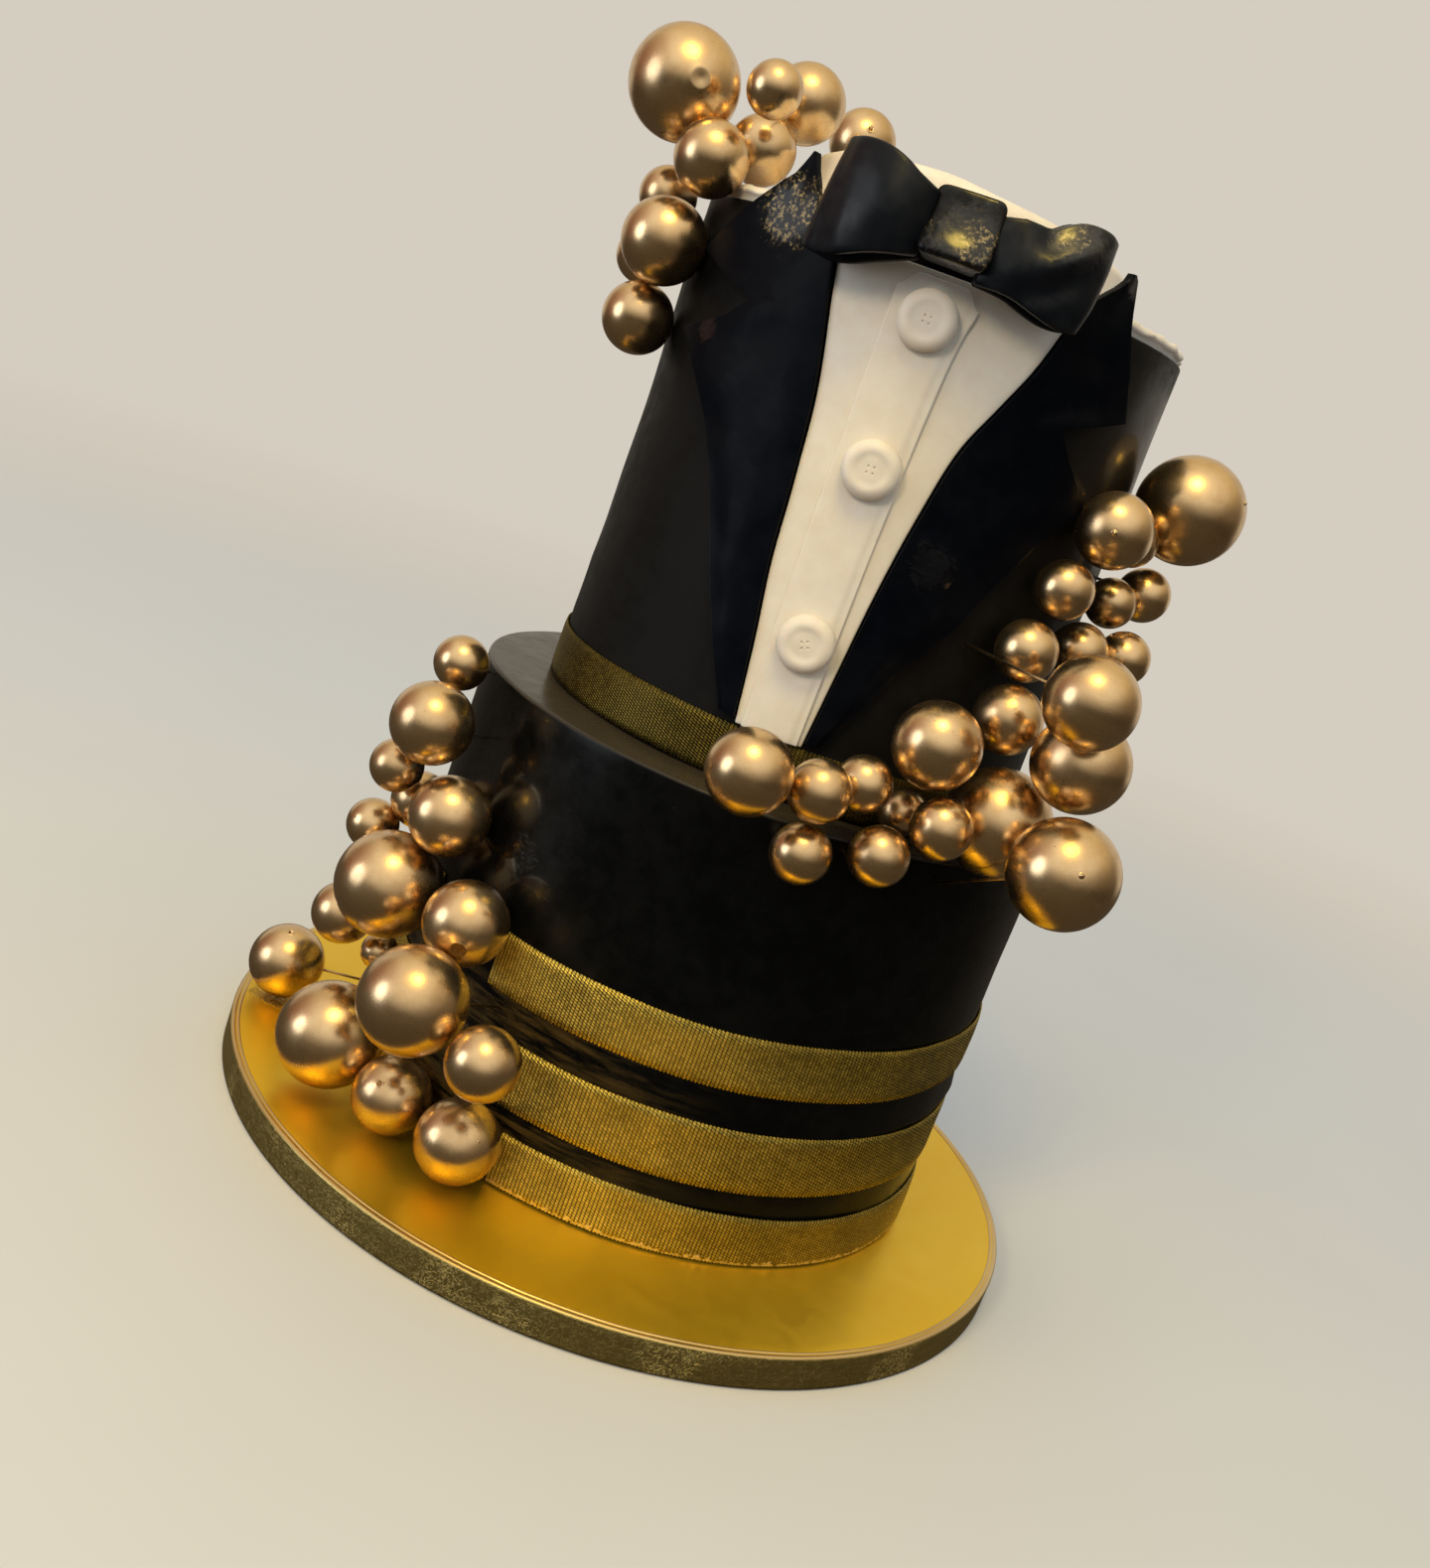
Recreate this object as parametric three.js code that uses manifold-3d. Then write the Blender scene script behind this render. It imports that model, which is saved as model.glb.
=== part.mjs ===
// Two-tier cake dressed as a dinner jacket: black wraps, white shirt front, bow tie, gold ribbons
// and three clusters of gold balls, standing on a round gold board.
// Millimetres and degrees. +Z is up, the shirt front faces -Y, the origin is the centre of the
// underside of the board. Azimuth 0 is the front (-Y) and grows towards +X.
import * as THREE from 'three';
import { mergeVertices } from 'three/addons/utils/BufferGeometryUtils.js';
import Module from 'manifold-3d';

const wasm = await Module();
wasm.setup();

// Driving dimensions.
const FIT = 0.3;
const BOARD_DIAMETER = 304.8;
const BOARD_THICKNESS = 12;
const BAND_THICKNESS = 0.5;
const LOWER = { x: 3.5, y: 3.5, bottom: 12.3, top: 163, bottomRadius: 108.5, topRadius: 107, edge: 5 };
const UPPER = { x: 6, y: 3, bottom: 163.3, top: 330, bottomRadius: 86, topRadius: 83, edge: 2 };
const TOP_DISC = { thickness: 5.5, radius: 82.5, edge: 2.2 };
const MOUND = { radius: 56, height: 23, edge: 11 };
const SHIRT_THICKNESS = 1.6;
const PLACKET_THICKNESS = 1.4;
const LAPEL_THICKNESS = 3;
const BUTTON = { diameter: 18, thickness: 5 };
const BUTTON_HEIGHTS = [313, 268, 213];
const RIBBON_THICKNESS = 0.8;
const UPPER_RIBBON = { bottom: 163.7, width: 17.6 };
const LOWER_RIBBONS = [
  { name: 'lower_ribbon_1', bottom: 73.3, width: 19.4, from: -33, to: 306, lift: 5.5 },
  { name: 'lower_ribbon_2', bottom: 38.6, width: 22, from: -27, to: 312, lift: 3 },
  { name: 'lower_ribbon_3', bottom: 12.6, width: 18.4, from: -20, to: 316, lift: 0 },
];
const WIRE_DIAMETER = 1.2;
const FRONT = -2;

// Colours, roughness and metalness.
const look = (color, roughness, metalness) => new THREE.MeshStandardMaterial({ color, roughness, metalness });
const LOOKS = {
  black: () => look(0x0b0c10, 0.42, 0),
  white: () => look(0xe6dccb, 0.6, 0),
  ribbon: () => look(0x8f7420, 0.45, 0.7),
  board: () => look(0xc79a2c, 0.3, 0.8),
  ball: () => look(0xc59a68, 0.28, 0.95),
};

const group = new THREE.Group();

const radiusAt = (tier, z) => {
  const t = (z - tier.bottom) / (tier.top - tier.bottom);
  return THREE.MathUtils.lerp(tier.bottomRadius, tier.topRadius, THREE.MathUtils.clamp(t, 0, 1.2));
};

const onTier = (tier, azimuth, radius, z) => {
  const a = THREE.MathUtils.degToRad(azimuth);
  return new THREE.Vector3(tier.x + radius * Math.sin(a), tier.y - radius * Math.cos(a), z);
};

const along = (table, key) => {
  // Piecewise linear value of a short table of [key, value] pairs.
  if (key <= table[0][0]) return table[0][1];
  for (let i = 1; i < table.length; i += 1) {
    if (key <= table[i][0]) {
      const t = (key - table[i - 1][0]) / (table[i][0] - table[i - 1][0]);
      return THREE.MathUtils.lerp(table[i - 1][1], table[i][1], t);
    }
  }
  return table[table.length - 1][1];
};

const solid = (points, faces) => {
  // A closed mesh from points and triangles, turned so that its faces point out.
  let volume = 0;
  const [a, b, c] = [new THREE.Vector3(), new THREE.Vector3(), new THREE.Vector3()];
  for (const [i, j, k] of faces) {
    volume += a.copy(points[i]).dot(b.copy(points[j]).cross(c.copy(points[k])));
  }
  const index = faces.flatMap(([i, j, k]) => (volume > 0 ? [i, j, k] : [i, k, j]));
  const geometry = new THREE.BufferGeometry().setFromPoints(points);
  geometry.setIndex(index);
  return geometry;
};

const slab = (columns, rows, outer, inner) => {
  // A bent plate: outer(u, v) and inner(u, v) give its two faces.
  const points = [];
  const faces = [];
  const at = (side, i, j) => side * (columns + 1) * (rows + 1) + j * (columns + 1) + i;
  for (const face of [outer, inner]) {
    for (let j = 0; j <= rows; j += 1) {
      for (let i = 0; i <= columns; i += 1) points.push(face(i / columns, j / rows));
    }
  }
  for (let j = 0; j < rows; j += 1) {
    for (let i = 0; i < columns; i += 1) {
      faces.push([at(0, i, j), at(0, i + 1, j), at(0, i + 1, j + 1)]);
      faces.push([at(0, i, j), at(0, i + 1, j + 1), at(0, i, j + 1)]);
      faces.push([at(1, i, j), at(1, i + 1, j + 1), at(1, i + 1, j)]);
      faces.push([at(1, i, j), at(1, i, j + 1), at(1, i + 1, j + 1)]);
    }
  }
  const rim = [];
  for (let i = 0; i < columns; i += 1) rim.push([i, 0]);
  for (let j = 0; j < rows; j += 1) rim.push([columns, j]);
  for (let i = columns; i > 0; i -= 1) rim.push([i, rows]);
  for (let j = rows; j > 0; j -= 1) rim.push([0, j]);
  rim.forEach(([i, j], n) => {
    const [p, q] = rim[(n + 1) % rim.length];
    faces.push([at(0, p, q), at(0, i, j), at(1, i, j)]);
    faces.push([at(0, p, q), at(1, i, j), at(1, p, q)]);
  });
  return solid(points, faces);
};

const loft = (sections) => {
  // A solid through closed sections with the same number of points, with fanned ends.
  const count = sections[0].length;
  const last = sections.length - 1;
  const points = sections.flat();
  const faces = [];
  for (let s = 0; s < last; s += 1) {
    for (let i = 0; i < count; i += 1) {
      const j = (i + 1) % count;
      faces.push([s * count + i, s * count + j, (s + 1) * count + j]);
      faces.push([s * count + i, (s + 1) * count + j, (s + 1) * count + i]);
    }
  }
  for (let i = 1; i < count - 1; i += 1) {
    faces.push([0, i + 1, i]);
    faces.push([last * count, last * count + i, last * count + i + 1]);
  }
  return solid(points, faces);
};

const turned = (profile, segments) => {
  // A solid of revolution about the vertical axis, from [radius, height] pairs.
  const geometry = new THREE.LatheGeometry(profile.map(([r, z]) => new THREE.Vector2(r, z)), segments);
  geometry.rotateX(Math.PI / 2);
  return welded(geometry);
};

const welded = (geometry) => {
  // Shared vertices merged and the triangles without area left out.
  geometry.deleteAttribute('normal');
  geometry.deleteAttribute('uv');
  const merged = mergeVertices(geometry, 1e-4);
  const kept = [];
  for (let i = 0; i < merged.index.count; i += 3) {
    const t = [0, 1, 2].map((k) => merged.index.getX(i + k));
    if (new Set(t).size === 3) kept.push(...t);
  }
  merged.setIndex(kept);
  return merged;
};

const rounded = (radius, z, size, steps, turn) => {
  // Points of a rounded edge that ends at (radius, z); turn is +1 for a top edge.
  const out = [];
  for (let i = 0; i <= steps; i += 1) {
    const a = (i / steps) * Math.PI / 2;
    out.push([radius - size + size * Math.cos(a), z - turn * size + turn * size * Math.sin(a)]);
  }
  return out;
};

const toManifold = (geometry) => {
  const mesh = new wasm.Mesh({
    numProp: 3,
    vertProperties: new Float32Array(geometry.attributes.position.array),
    triVerts: new Uint32Array(geometry.index.array),
  });
  return new wasm.Manifold(mesh);
};

const fromManifold = (body) => {
  const mesh = body.getMesh();
  const geometry = new THREE.BufferGeometry();
  geometry.setAttribute('position', new THREE.BufferAttribute(mesh.vertProperties, 3));
  geometry.setIndex(new THREE.BufferAttribute(mesh.triVerts, 1));
  return geometry;
};

const add = (name, geometry, material, position = new THREE.Vector3()) => {
  const mesh = new THREE.Mesh(geometry, material);
  mesh.name = name;
  mesh.position.copy(position);
  group.add(mesh);
  return mesh;
};

// Board: a thick round drum with a thin band round its edge.
const boardRadius = BOARD_DIAMETER / 2 - BAND_THICKNESS - FIT;
add('board', turned([
  [0, 0],
  [boardRadius, 0],
  [boardRadius, BOARD_THICKNESS - 0.6],
  [boardRadius - 0.6, BOARD_THICKNESS],
  [0, BOARD_THICKNESS],
], 64), LOOKS.board());
const bandOuter = BOARD_DIAMETER / 2;
add('board_band', turned([
  [boardRadius + FIT, 0.5],
  [bandOuter, 0.5],
  [bandOuter, BOARD_THICKNESS],
  [boardRadius + FIT, BOARD_THICKNESS],
  [boardRadius + FIT, 0.5],
], 64), LOOKS.ribbon());

// Tiers: slightly tapered cylinders with a rounded top edge.
const tierProfile = (tier, steps) => [
  [0, 0],
  [tier.bottomRadius - 0.5, 0],
  [tier.bottomRadius, 0.8],
  [THREE.MathUtils.lerp(tier.bottomRadius, tier.topRadius, 0.5), (tier.top - tier.bottom) / 2],
  ...rounded(tier.topRadius, tier.top - tier.bottom, tier.edge, steps, 1),
  [0, tier.top - tier.bottom],
];
add('lower_tier', turned(tierProfile(LOWER, 2), 60), LOOKS.black(), new THREE.Vector3(LOWER.x, LOWER.y, LOWER.bottom));
add('upper_tier', turned(tierProfile(UPPER, 2), 56), LOOKS.black(), new THREE.Vector3(UPPER.x, UPPER.y, UPPER.bottom));

// White top disc and the low rounded mound behind the bow.
const discBottom = UPPER.top + FIT;
const discTop = discBottom + TOP_DISC.thickness;
add('top_disc', turned([
  [0, 0],
  [TOP_DISC.radius - 0.5, 0],
  [TOP_DISC.radius, 0.8],
  ...rounded(TOP_DISC.radius, TOP_DISC.thickness, TOP_DISC.edge, 2, 1),
  [0, TOP_DISC.thickness],
], 52), LOOKS.white(), new THREE.Vector3(UPPER.x, UPPER.y, discBottom));
add('top_mound', turned([
  [0, 0],
  [MOUND.radius, 0],
  ...rounded(MOUND.radius, MOUND.height - 1.2, MOUND.edge, 4, 1),
  [0, MOUND.height],
], 40), LOOKS.white(), new THREE.Vector3(UPPER.x, UPPER.y, discTop + FIT));

// Ribbons: flat bands round the tiers, each a little open at its seam.
const smooth = (t) => THREE.MathUtils.smoothstep(t, 0, 1);
const ribbonLift = (azimuth, lift) => lift * smooth(azimuth / 75) * (1 - smooth((azimuth - 210) / 90));
const ribbon = (tier, band, columns) => {
  const place = (u, v, offset) => {
    const azimuth = THREE.MathUtils.lerp(band.from, band.to, u);
    const z = band.bottom + band.width * v + ribbonLift(azimuth, band.lift);
    return onTier(tier, azimuth, radiusAt(tier, z) + offset, z);
  };
  return slab(columns, 1, (u, v) => place(u, v, FIT + RIBBON_THICKNESS), (u, v) => place(u, v, FIT));
};
add('upper_ribbon', ribbon(UPPER, { ...UPPER_RIBBON, from: -179, to: 179, lift: 0 }, 48), LOOKS.ribbon());
for (const band of LOWER_RIBBONS) add(band.name, ribbon(LOWER, band, 44), LOOKS.ribbon());

// Shirt front: half widths in degrees at each height, left and right of the front line.
const SHIRT_BOTTOM = 181.8;
const SHIRT_TOP = 327;
const SHIRT_LEFT = [[182, 8], [207, 10], [232, 12.5], [259, 14], [285, 16], [311, 20], [327, 22.5]];
const SHIRT_RIGHT = [[182, 6.5], [207, 8], [232, 9.5], [259, 12], [281, 15], [298, 20], [311, 24], [327, 27.5]];
const PLACKET_LEFT = [[182, 6.5], [250, 7.5], [327, 8]];
const PLACKET_RIGHT = [[182, 5.5], [250, 6], [300, 7], [327, 9]];
const panel = (tier, bottom, top, leftAt, rightAt, inner, outer, columns, rows) => {
  const place = (u, v, offset) => {
    const z = THREE.MathUtils.lerp(bottom, top, v);
    const azimuth = THREE.MathUtils.lerp(leftAt(z), rightAt(z), u);
    return onTier(tier, azimuth, radiusAt(tier, z) + offset, z);
  };
  return slab(columns, rows, (u, v) => place(u, v, outer), (u, v) => place(u, v, inner));
};
const shirtFace = FIT + SHIRT_THICKNESS;
const shirtLeft = (z) => FRONT - along(SHIRT_LEFT, z);
const shirtRight = (z) => FRONT + along(SHIRT_RIGHT, z);
add('shirt', panel(UPPER, SHIRT_BOTTOM, SHIRT_TOP, shirtLeft, shirtRight, FIT, shirtFace, 8, 10), LOOKS.white());
const placketLeft = (z) => FRONT - along(PLACKET_LEFT, z);
const placketRight = (z) => FRONT + along(PLACKET_RIGHT, z);
const placketInner = shirtFace + FIT;
const placketFace = placketInner + PLACKET_THICKNESS;
add('placket', panel(
  UPPER,
  SHIRT_BOTTOM,
  SHIRT_TOP - 2,
  placketLeft,
  placketRight,
  placketInner,
  placketFace,
  4,
  8,
), LOOKS.white());

// Buttons: low domed discs on the placket, facing straight out.
const buttonProfile = [
  [0, 0],
  [BUTTON.diameter / 2 - 0.6, 0],
  [BUTTON.diameter / 2, 1],
  ...rounded(BUTTON.diameter / 2, BUTTON.thickness, 2.4, 2, 1),
  [BUTTON.diameter / 2 - 3.6, BUTTON.thickness - 0.5],
  [0, BUTTON.thickness - 0.5],
];
BUTTON_HEIGHTS.forEach((z, n) => {
  const button = add(`button_${n + 1}`, turned(buttonProfile, 16), LOOKS.white());
  const standoff = placketFace + FIT + 0.35;
  button.position.copy(onTier(UPPER, FRONT, radiusAt(UPPER, z) + standoff, z));
  button.rotation.set(Math.PI / 2, 0, 0);
  const turn = new THREE.Group();
  turn.rotation.z = THREE.MathUtils.degToRad(FRONT);
  button.position.applyAxisAngle(new THREE.Vector3(0, 0, 1), -turn.rotation.z);
  turn.add(button);
  group.add(turn);
});

// Lapels: flat pieces beside the shirt, with a notch near the top and a peak below it.
const LAPEL_BOTTOM = 184;
const LAPEL_TOP = 321;
const LAPEL_LEFT = [[184, 12], [212, 21], [232, 27], [252, 33], [271, 42], [290, 54], [296, 48], [303, 37], [321, 44]];
const LAPEL_RIGHT = [[184, 10], [212, 19], [232, 28], [250, 34], [268, 41], [284, 47], [291, 42], [298, 36], [321, 45]];
const lapelRows = (table) => table.map(([z]) => z);
const lapel = (table, side) => {
  const heights = lapelRows(table);
  const rows = (heights.length - 1) * 2;
  const columns = 5;
  const shirtEdge = side < 0 ? shirtLeft : shirtRight;
  const place = (u, v, offset) => {
    const t = v * (heights.length - 1);
    const k = Math.min(Math.floor(t), heights.length - 2);
    const z = THREE.MathUtils.lerp(heights[k], heights[k + 1], t - k);
    const near = shirtEdge(z) + side * 0.3;
    const far = FRONT + side * along(table, z);
    return onTier(UPPER, THREE.MathUtils.lerp(near, far, u), radiusAt(UPPER, z) + offset, z);
  };
  const edge = (u) => FIT + LAPEL_THICKNESS * (1 - 0.35 * u ** 4);
  return slab(columns, rows, (u, v) => place(u, v, edge(u)), (u, v) => place(u, v, 3 * FIT));
};
add('lapel_left', lapel(LAPEL_LEFT, -1), LOOKS.black());
add('lapel_right', lapel(LAPEL_RIGHT, 1), LOOKS.black());

// Collar tips: pointed black plates standing up past the rim on both sides of the bow.
const TIP_LEFT = [[-58, 324], [-54, 327.5], [-46, 334.5], [-41, 341], [-37.5, 348.5], [-34.5, 342], [-32, 336]];
const TIP_RIGHT = [[28, 334], [33, 338], [38, 346.5], [39.5, 345], [41, 339], [43, 333], [47, 329]];
const tip = (table) => {
  const from = table[0][0];
  const columns = (table.length - 1) * 2;
  const place = (u, v, inner) => {
    const t = u * (table.length - 1);
    const k = Math.min(Math.floor(t), table.length - 2);
    const azimuth = THREE.MathUtils.lerp(table[k][0], table[k + 1][0], t - k);
    const crest = THREE.MathUtils.lerp(table[k][1], table[k + 1][1], t - k);
    const z = THREE.MathUtils.lerp(LAPEL_TOP + FIT, crest, v);
    const radius = UPPER.topRadius + FIT + (inner ? 0 : 3 - 1.4 * v);
    return onTier(UPPER, azimuth, radius + (from < 0 ? 0 : 0.001), z);
  };
  return slab(columns, 2, (u, v) => place(u, v, false), (u, v) => place(u, v, true));
};
add('collar_tip_left', tip(TIP_LEFT), LOOKS.black());
add('collar_tip_right', tip(TIP_RIGHT), LOOKS.black());

// Bow tie: two full loops and a knot, bent round the front of the rim.
// Stations are [azimuth, centre height, half height, half depth].
const BOW_RADIUS = 96.4;
const BOW_LEFT = [
  [-9, 337, 10.5, 5],
  [-11.5, 337.5, 13, 7.5],
  [-15, 337.5, 15.5, 8.7],
  [-19, 337.6, 16.6, 8.7],
  [-23, 337.4, 16.4, 7.5],
  [-26, 337, 15, 4],
];
const BOW_RIGHT = [
  [5.5, 336, 10, 5],
  [8.5, 336, 12, 7.5],
  [12.5, 336.5, 13.5, 8.7],
  [17, 337.2, 14.8, 8.7],
  [21.5, 337.4, 15.2, 7.5],
  [25, 337, 14.5, 4],
];
const KNOT = { left: -8.2, right: 4.8, bottom: 327, top: 348.5, inner: 88, outer: 108, edge: 3 };
const bowSection = ([azimuth, z, half, depth]) => {
  const points = [];
  const power = (value, exponent) => Math.sign(value) * Math.abs(value) ** exponent;
  for (let i = 0; i < 14; i += 1) {
    const a = (i / 14) * 2 * Math.PI;
    const radius = BOW_RADIUS + depth * power(Math.cos(a), 0.75);
    points.push(onTier(UPPER, azimuth, radius, z + half * power(Math.sin(a), 0.7)));
  }
  return points;
};
add('bow_left', loft(BOW_LEFT.map(bowSection)), LOOKS.black());
add('bow_right', loft(BOW_RIGHT.map(bowSection)), LOOKS.black());
const knotSection = (u) => {
  const inset = KNOT.edge * (1 - Math.sqrt(Math.max(0, 1 - (2 * u - 1) ** 6)));
  const azimuth = THREE.MathUtils.lerp(KNOT.left, KNOT.right, u);
  const [low, high] = [KNOT.bottom + inset, KNOT.top - inset];
  const [near, far] = [KNOT.inner + inset * 0.3, KNOT.outer - inset];
  const corner = KNOT.edge;
  const outline = [
    [near, low],
    [far - corner, low],
    [far - corner * 0.3, low + corner * 0.3],
    [far, low + corner],
    [far, high - corner],
    [far - corner * 0.3, high - corner * 0.3],
    [far - corner, high],
    [near, high],
  ];
  return outline.map(([radius, z]) => onTier(UPPER, azimuth, radius, z));
};
add('bow_knot', loft([0, 0.06, 0.2, 0.5, 0.8, 0.94, 1].map(knotSection)), LOOKS.black());

// Gold balls. Each has a diameter, azimuth, reach from the tier's axis and height of its centre.
// A wire runs from a ball to [azimuth, height] on the side of the tier behind it, or down to a
// reach on the level top below it. Balls listed together are pushed on to the same short pin.
const CROWN = [
  [{ d: 36, at: [-73, 106, 359], down: [-77, 76] }],
  [{ d: 17.5, at: [-53.5, 88, 363], down: [-53, 76] }],
  [{ d: 26, at: [-81, 65.5, 369], down: [-82, 64] }],
  [{ d: 24, at: [-61.5, 95, 339] }, { d: 22.5, at: [-68.5, 77, 348.5] }],
  [{ d: 19.5, at: [-79, 99, 326.5], side: [-78, 324] }],
  [{ d: 28, at: [-67, 98.5, 311.5] }, { d: 18.5, at: [-79.5, 100.5, 306] }],
  [{ d: 24, at: [-72.5, 97, 286.5] }],
  [{ d: 24, at: [-130, 60.5, 371], down: [-130, 62] }],
];
const GARLAND = [
  [{ d: 36.5, at: [77, 103.5, 289.5] }, { d: 17, at: [66, 93, 274] }],
  [{ d: 24.5, at: [50, 97, 275.5] }],
  [{ d: 19, at: [44.5, 94.5, 253.5] }],
  [{ d: 17, at: [68, 93.5, 253] }, { d: 18.5, at: [77, 100.5, 258.5], side: [76, 260] }],
  [{ d: 20, at: [40, 96, 232.5] }],
  [{ d: 19, at: [58, 95, 236] }, { d: 18, at: [66.5, 105, 238], side: [67, 236] }],
  [{ d: 28, at: [34.5, 139, 229], side: [31, 228] }],
  [{ d: 22.5, at: [39.5, 100.5, 211], side: [40, 212] }],
  [{ d: 27.5, at: [24, 109, 199.5], side: [25, 200] }],
  [{ d: 30.5, at: [42.5, 128.5, 208.5], side: [52, 208] }],
  [{ d: 35, at: [41, 110, 180.5] }],
  [{ d: 34, at: [39, 145, 179], lower: [37, 156] }],
  [{ d: 19.5, at: [27.5, 117.5, 177], down: [28, 102] }],
  [{ d: 15.5, at: [27, 95.5, 173.5] }],
  [{ d: 18, at: [15, 107.5, 181.5], down: [16, 102] }, { d: 19.5, at: [7.5, 119, 178] }],
  [{ d: 26, at: [-2.5, 128, 178.5], down: [-2, 102] }],
  [{ d: 19, at: [8.5, 116, 157.5] }],
  [{ d: 19, at: [20, 115.5, 163.5] }],
];
const CASCADE = [
  [{ d: 18.5, at: [-60, 121, 163], side: [-59, 156] }],
  [{ d: 27.5, at: [-52.5, 131, 145.5], side: [-53, 144] }, { d: 18, at: [-57.5, 133.5, 125.5] }],
  [{ d: 20, at: [-61, 119.5, 112.5] }, { d: 18, at: [-63, 131.5, 99], side: [-62, 100] }],
  [{ d: 27, at: [-47, 121.5, 119] }],
  [{ d: 36, at: [-51.5, 129.5, 89], side: [-53, 88] }, { d: 21.5, at: [-59.5, 134.5, 68.5] }],
  [{ d: 28, at: [-35, 122.5, 93.5] }],
  [{ d: 27.5, at: [-77.5, 142.5, 26.5], side: [-77, 35] }],
  [{ d: 13.5, at: [-60, 117.5, 55.5] }],
  [{ d: 34.5, at: [-30.5, 146.5, 74.5], side: [-29, 68] }],
  [{ d: 36.5, at: [-51, 134, 32.5], side: [-50, 35] }, { d: 26.5, at: [-38, 123.5, 26.5] }],
  [{ d: 23.5, at: [-19, 144, 68], side: [-20, 68] }],
  [{ d: 28, at: [-23.5, 123, 28] }],
];

const ballGeometry = (diameter) => {
  const round = diameter > 26 ? [11, 7] : [9, 6];
  const geometry = new THREE.SphereGeometry(diameter / 2, ...round);
  geometry.rotateX(Math.PI / 2);
  return welded(geometry);
};

const rod = (from, to, diameter) => {
  const length = from.distanceTo(to);
  const geometry = welded(new THREE.CylinderGeometry(diameter / 2, diameter / 2, length, 6));
  const turn = new THREE.Quaternion();
  turn.setFromUnitVectors(new THREE.Vector3(0, 1, 0), to.clone().sub(from).normalize());
  geometry.applyQuaternion(turn);
  const middle = from.clone().add(to).multiplyScalar(0.5);
  return geometry.translate(middle.x, middle.y, middle.z);
};

const wireEnd = (ball, tier) => {
  if (ball.side) return onTier(tier, ball.side[0], radiusAt(tier, ball.side[1]) + FIT, ball.side[1]);
  if (ball.lower) return onTier(LOWER, ball.lower[0], radiusAt(LOWER, ball.lower[1]) + FIT, ball.lower[1]);
  if (!ball.down) return null;
  return onTier(tier, ball.down[0], ball.down[1], ball.at[2] > UPPER.top ? discTop + FIT : LOWER.top + FIT);
};

const addCluster = (prefix, tier, cluster) => cluster.forEach((balls, n) => {
  const centres = balls.map((ball) => onTier(tier, ball.at[0], ball.at[1], ball.at[2]));
  const origin = centres[0];
  const bodies = balls.map((ball, i) => {
    const offset = centres[i].clone().sub(origin);
    return toManifold(ballGeometry(ball.d).translate(offset.x, offset.y, offset.z));
  });
  balls.forEach((ball, i) => {
    const end = wireEnd(ball, tier);
    if (end) bodies.push(toManifold(rod(centres[i].clone().sub(origin), end.sub(origin), WIRE_DIAMETER)));
  });
  if (balls.length > 1) {
    bodies.push(toManifold(rod(new THREE.Vector3(), centres[1].clone().sub(origin), 2 * WIRE_DIAMETER)));
  }
  const body = bodies.slice(1).reduce((whole, next) => whole.add(next), bodies[0]);
  const label = `${prefix}_${String(n + 1).padStart(2, '0')}`;
  add(label, fromManifold(body), LOOKS.ball(), origin);
});
addCluster('crown_ball', UPPER, CROWN);
addCluster('garland_ball', UPPER, GARLAND);
addCluster('cascade_ball', LOWER, CASCADE);

export default group;
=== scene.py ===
import math
import random

import bmesh
import bpy
from mathutils import Matrix, Vector, noise


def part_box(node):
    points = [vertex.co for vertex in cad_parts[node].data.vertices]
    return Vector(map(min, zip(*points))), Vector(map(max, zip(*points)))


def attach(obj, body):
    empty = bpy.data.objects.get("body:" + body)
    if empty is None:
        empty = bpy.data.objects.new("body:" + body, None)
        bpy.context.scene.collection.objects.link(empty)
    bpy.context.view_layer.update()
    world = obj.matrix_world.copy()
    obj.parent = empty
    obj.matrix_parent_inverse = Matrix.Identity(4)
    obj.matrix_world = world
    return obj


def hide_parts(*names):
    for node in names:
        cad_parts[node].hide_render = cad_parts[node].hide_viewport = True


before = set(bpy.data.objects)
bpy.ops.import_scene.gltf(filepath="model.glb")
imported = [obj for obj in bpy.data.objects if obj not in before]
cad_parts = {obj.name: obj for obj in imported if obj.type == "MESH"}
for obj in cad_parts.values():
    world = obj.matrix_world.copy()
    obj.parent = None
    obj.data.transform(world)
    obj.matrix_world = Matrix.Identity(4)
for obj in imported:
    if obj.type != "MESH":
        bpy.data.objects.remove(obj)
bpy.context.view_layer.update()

# A two-tier cake dressed as a dinner jacket, on its gold board. Design sizes are in millimetres and
# degrees. Azimuth 0 is the shirt front and grows to the right of someone who faces it.
MM = 0.001
FRONT = -2      # azimuth of the shirt's middle
GAP = 0.3       # air left between a piece and what it lies on
scene = bpy.context.scene
chance = random.Random(11)


# ---------------------------------------------------------------- camera, lights and floor

EYE = Vector((0.0, -0.556106, 0.280274))
EYE_RIGHT = Vector((0.93667277, 0.10087342, 0.3353635))
EYE_UP = Vector((-0.34979497, 0.22311008, 0.90987107))
EYE_FORWARD = Vector((-0.01695883, 0.96955992, -0.24426616))
SENSOR_WIDTH, LENS = 36, 35.68
CAKE_MIDDLE = Vector((0, 0, 0.2))


def stand_camera():
    lens = bpy.data.cameras.new("camera")
    lens.sensor_width = SENSOR_WIDTH
    lens.lens = LENS
    lens.clip_start = 0.01
    holder = bpy.data.objects.new("camera", lens)
    scene.collection.objects.link(holder)
    turn = Matrix((EYE_RIGHT, EYE_UP, -EYE_FORWARD)).transposed()
    holder.matrix_world = Matrix.Translation(EYE) @ turn.to_4x4()
    scene.camera = holder


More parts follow.
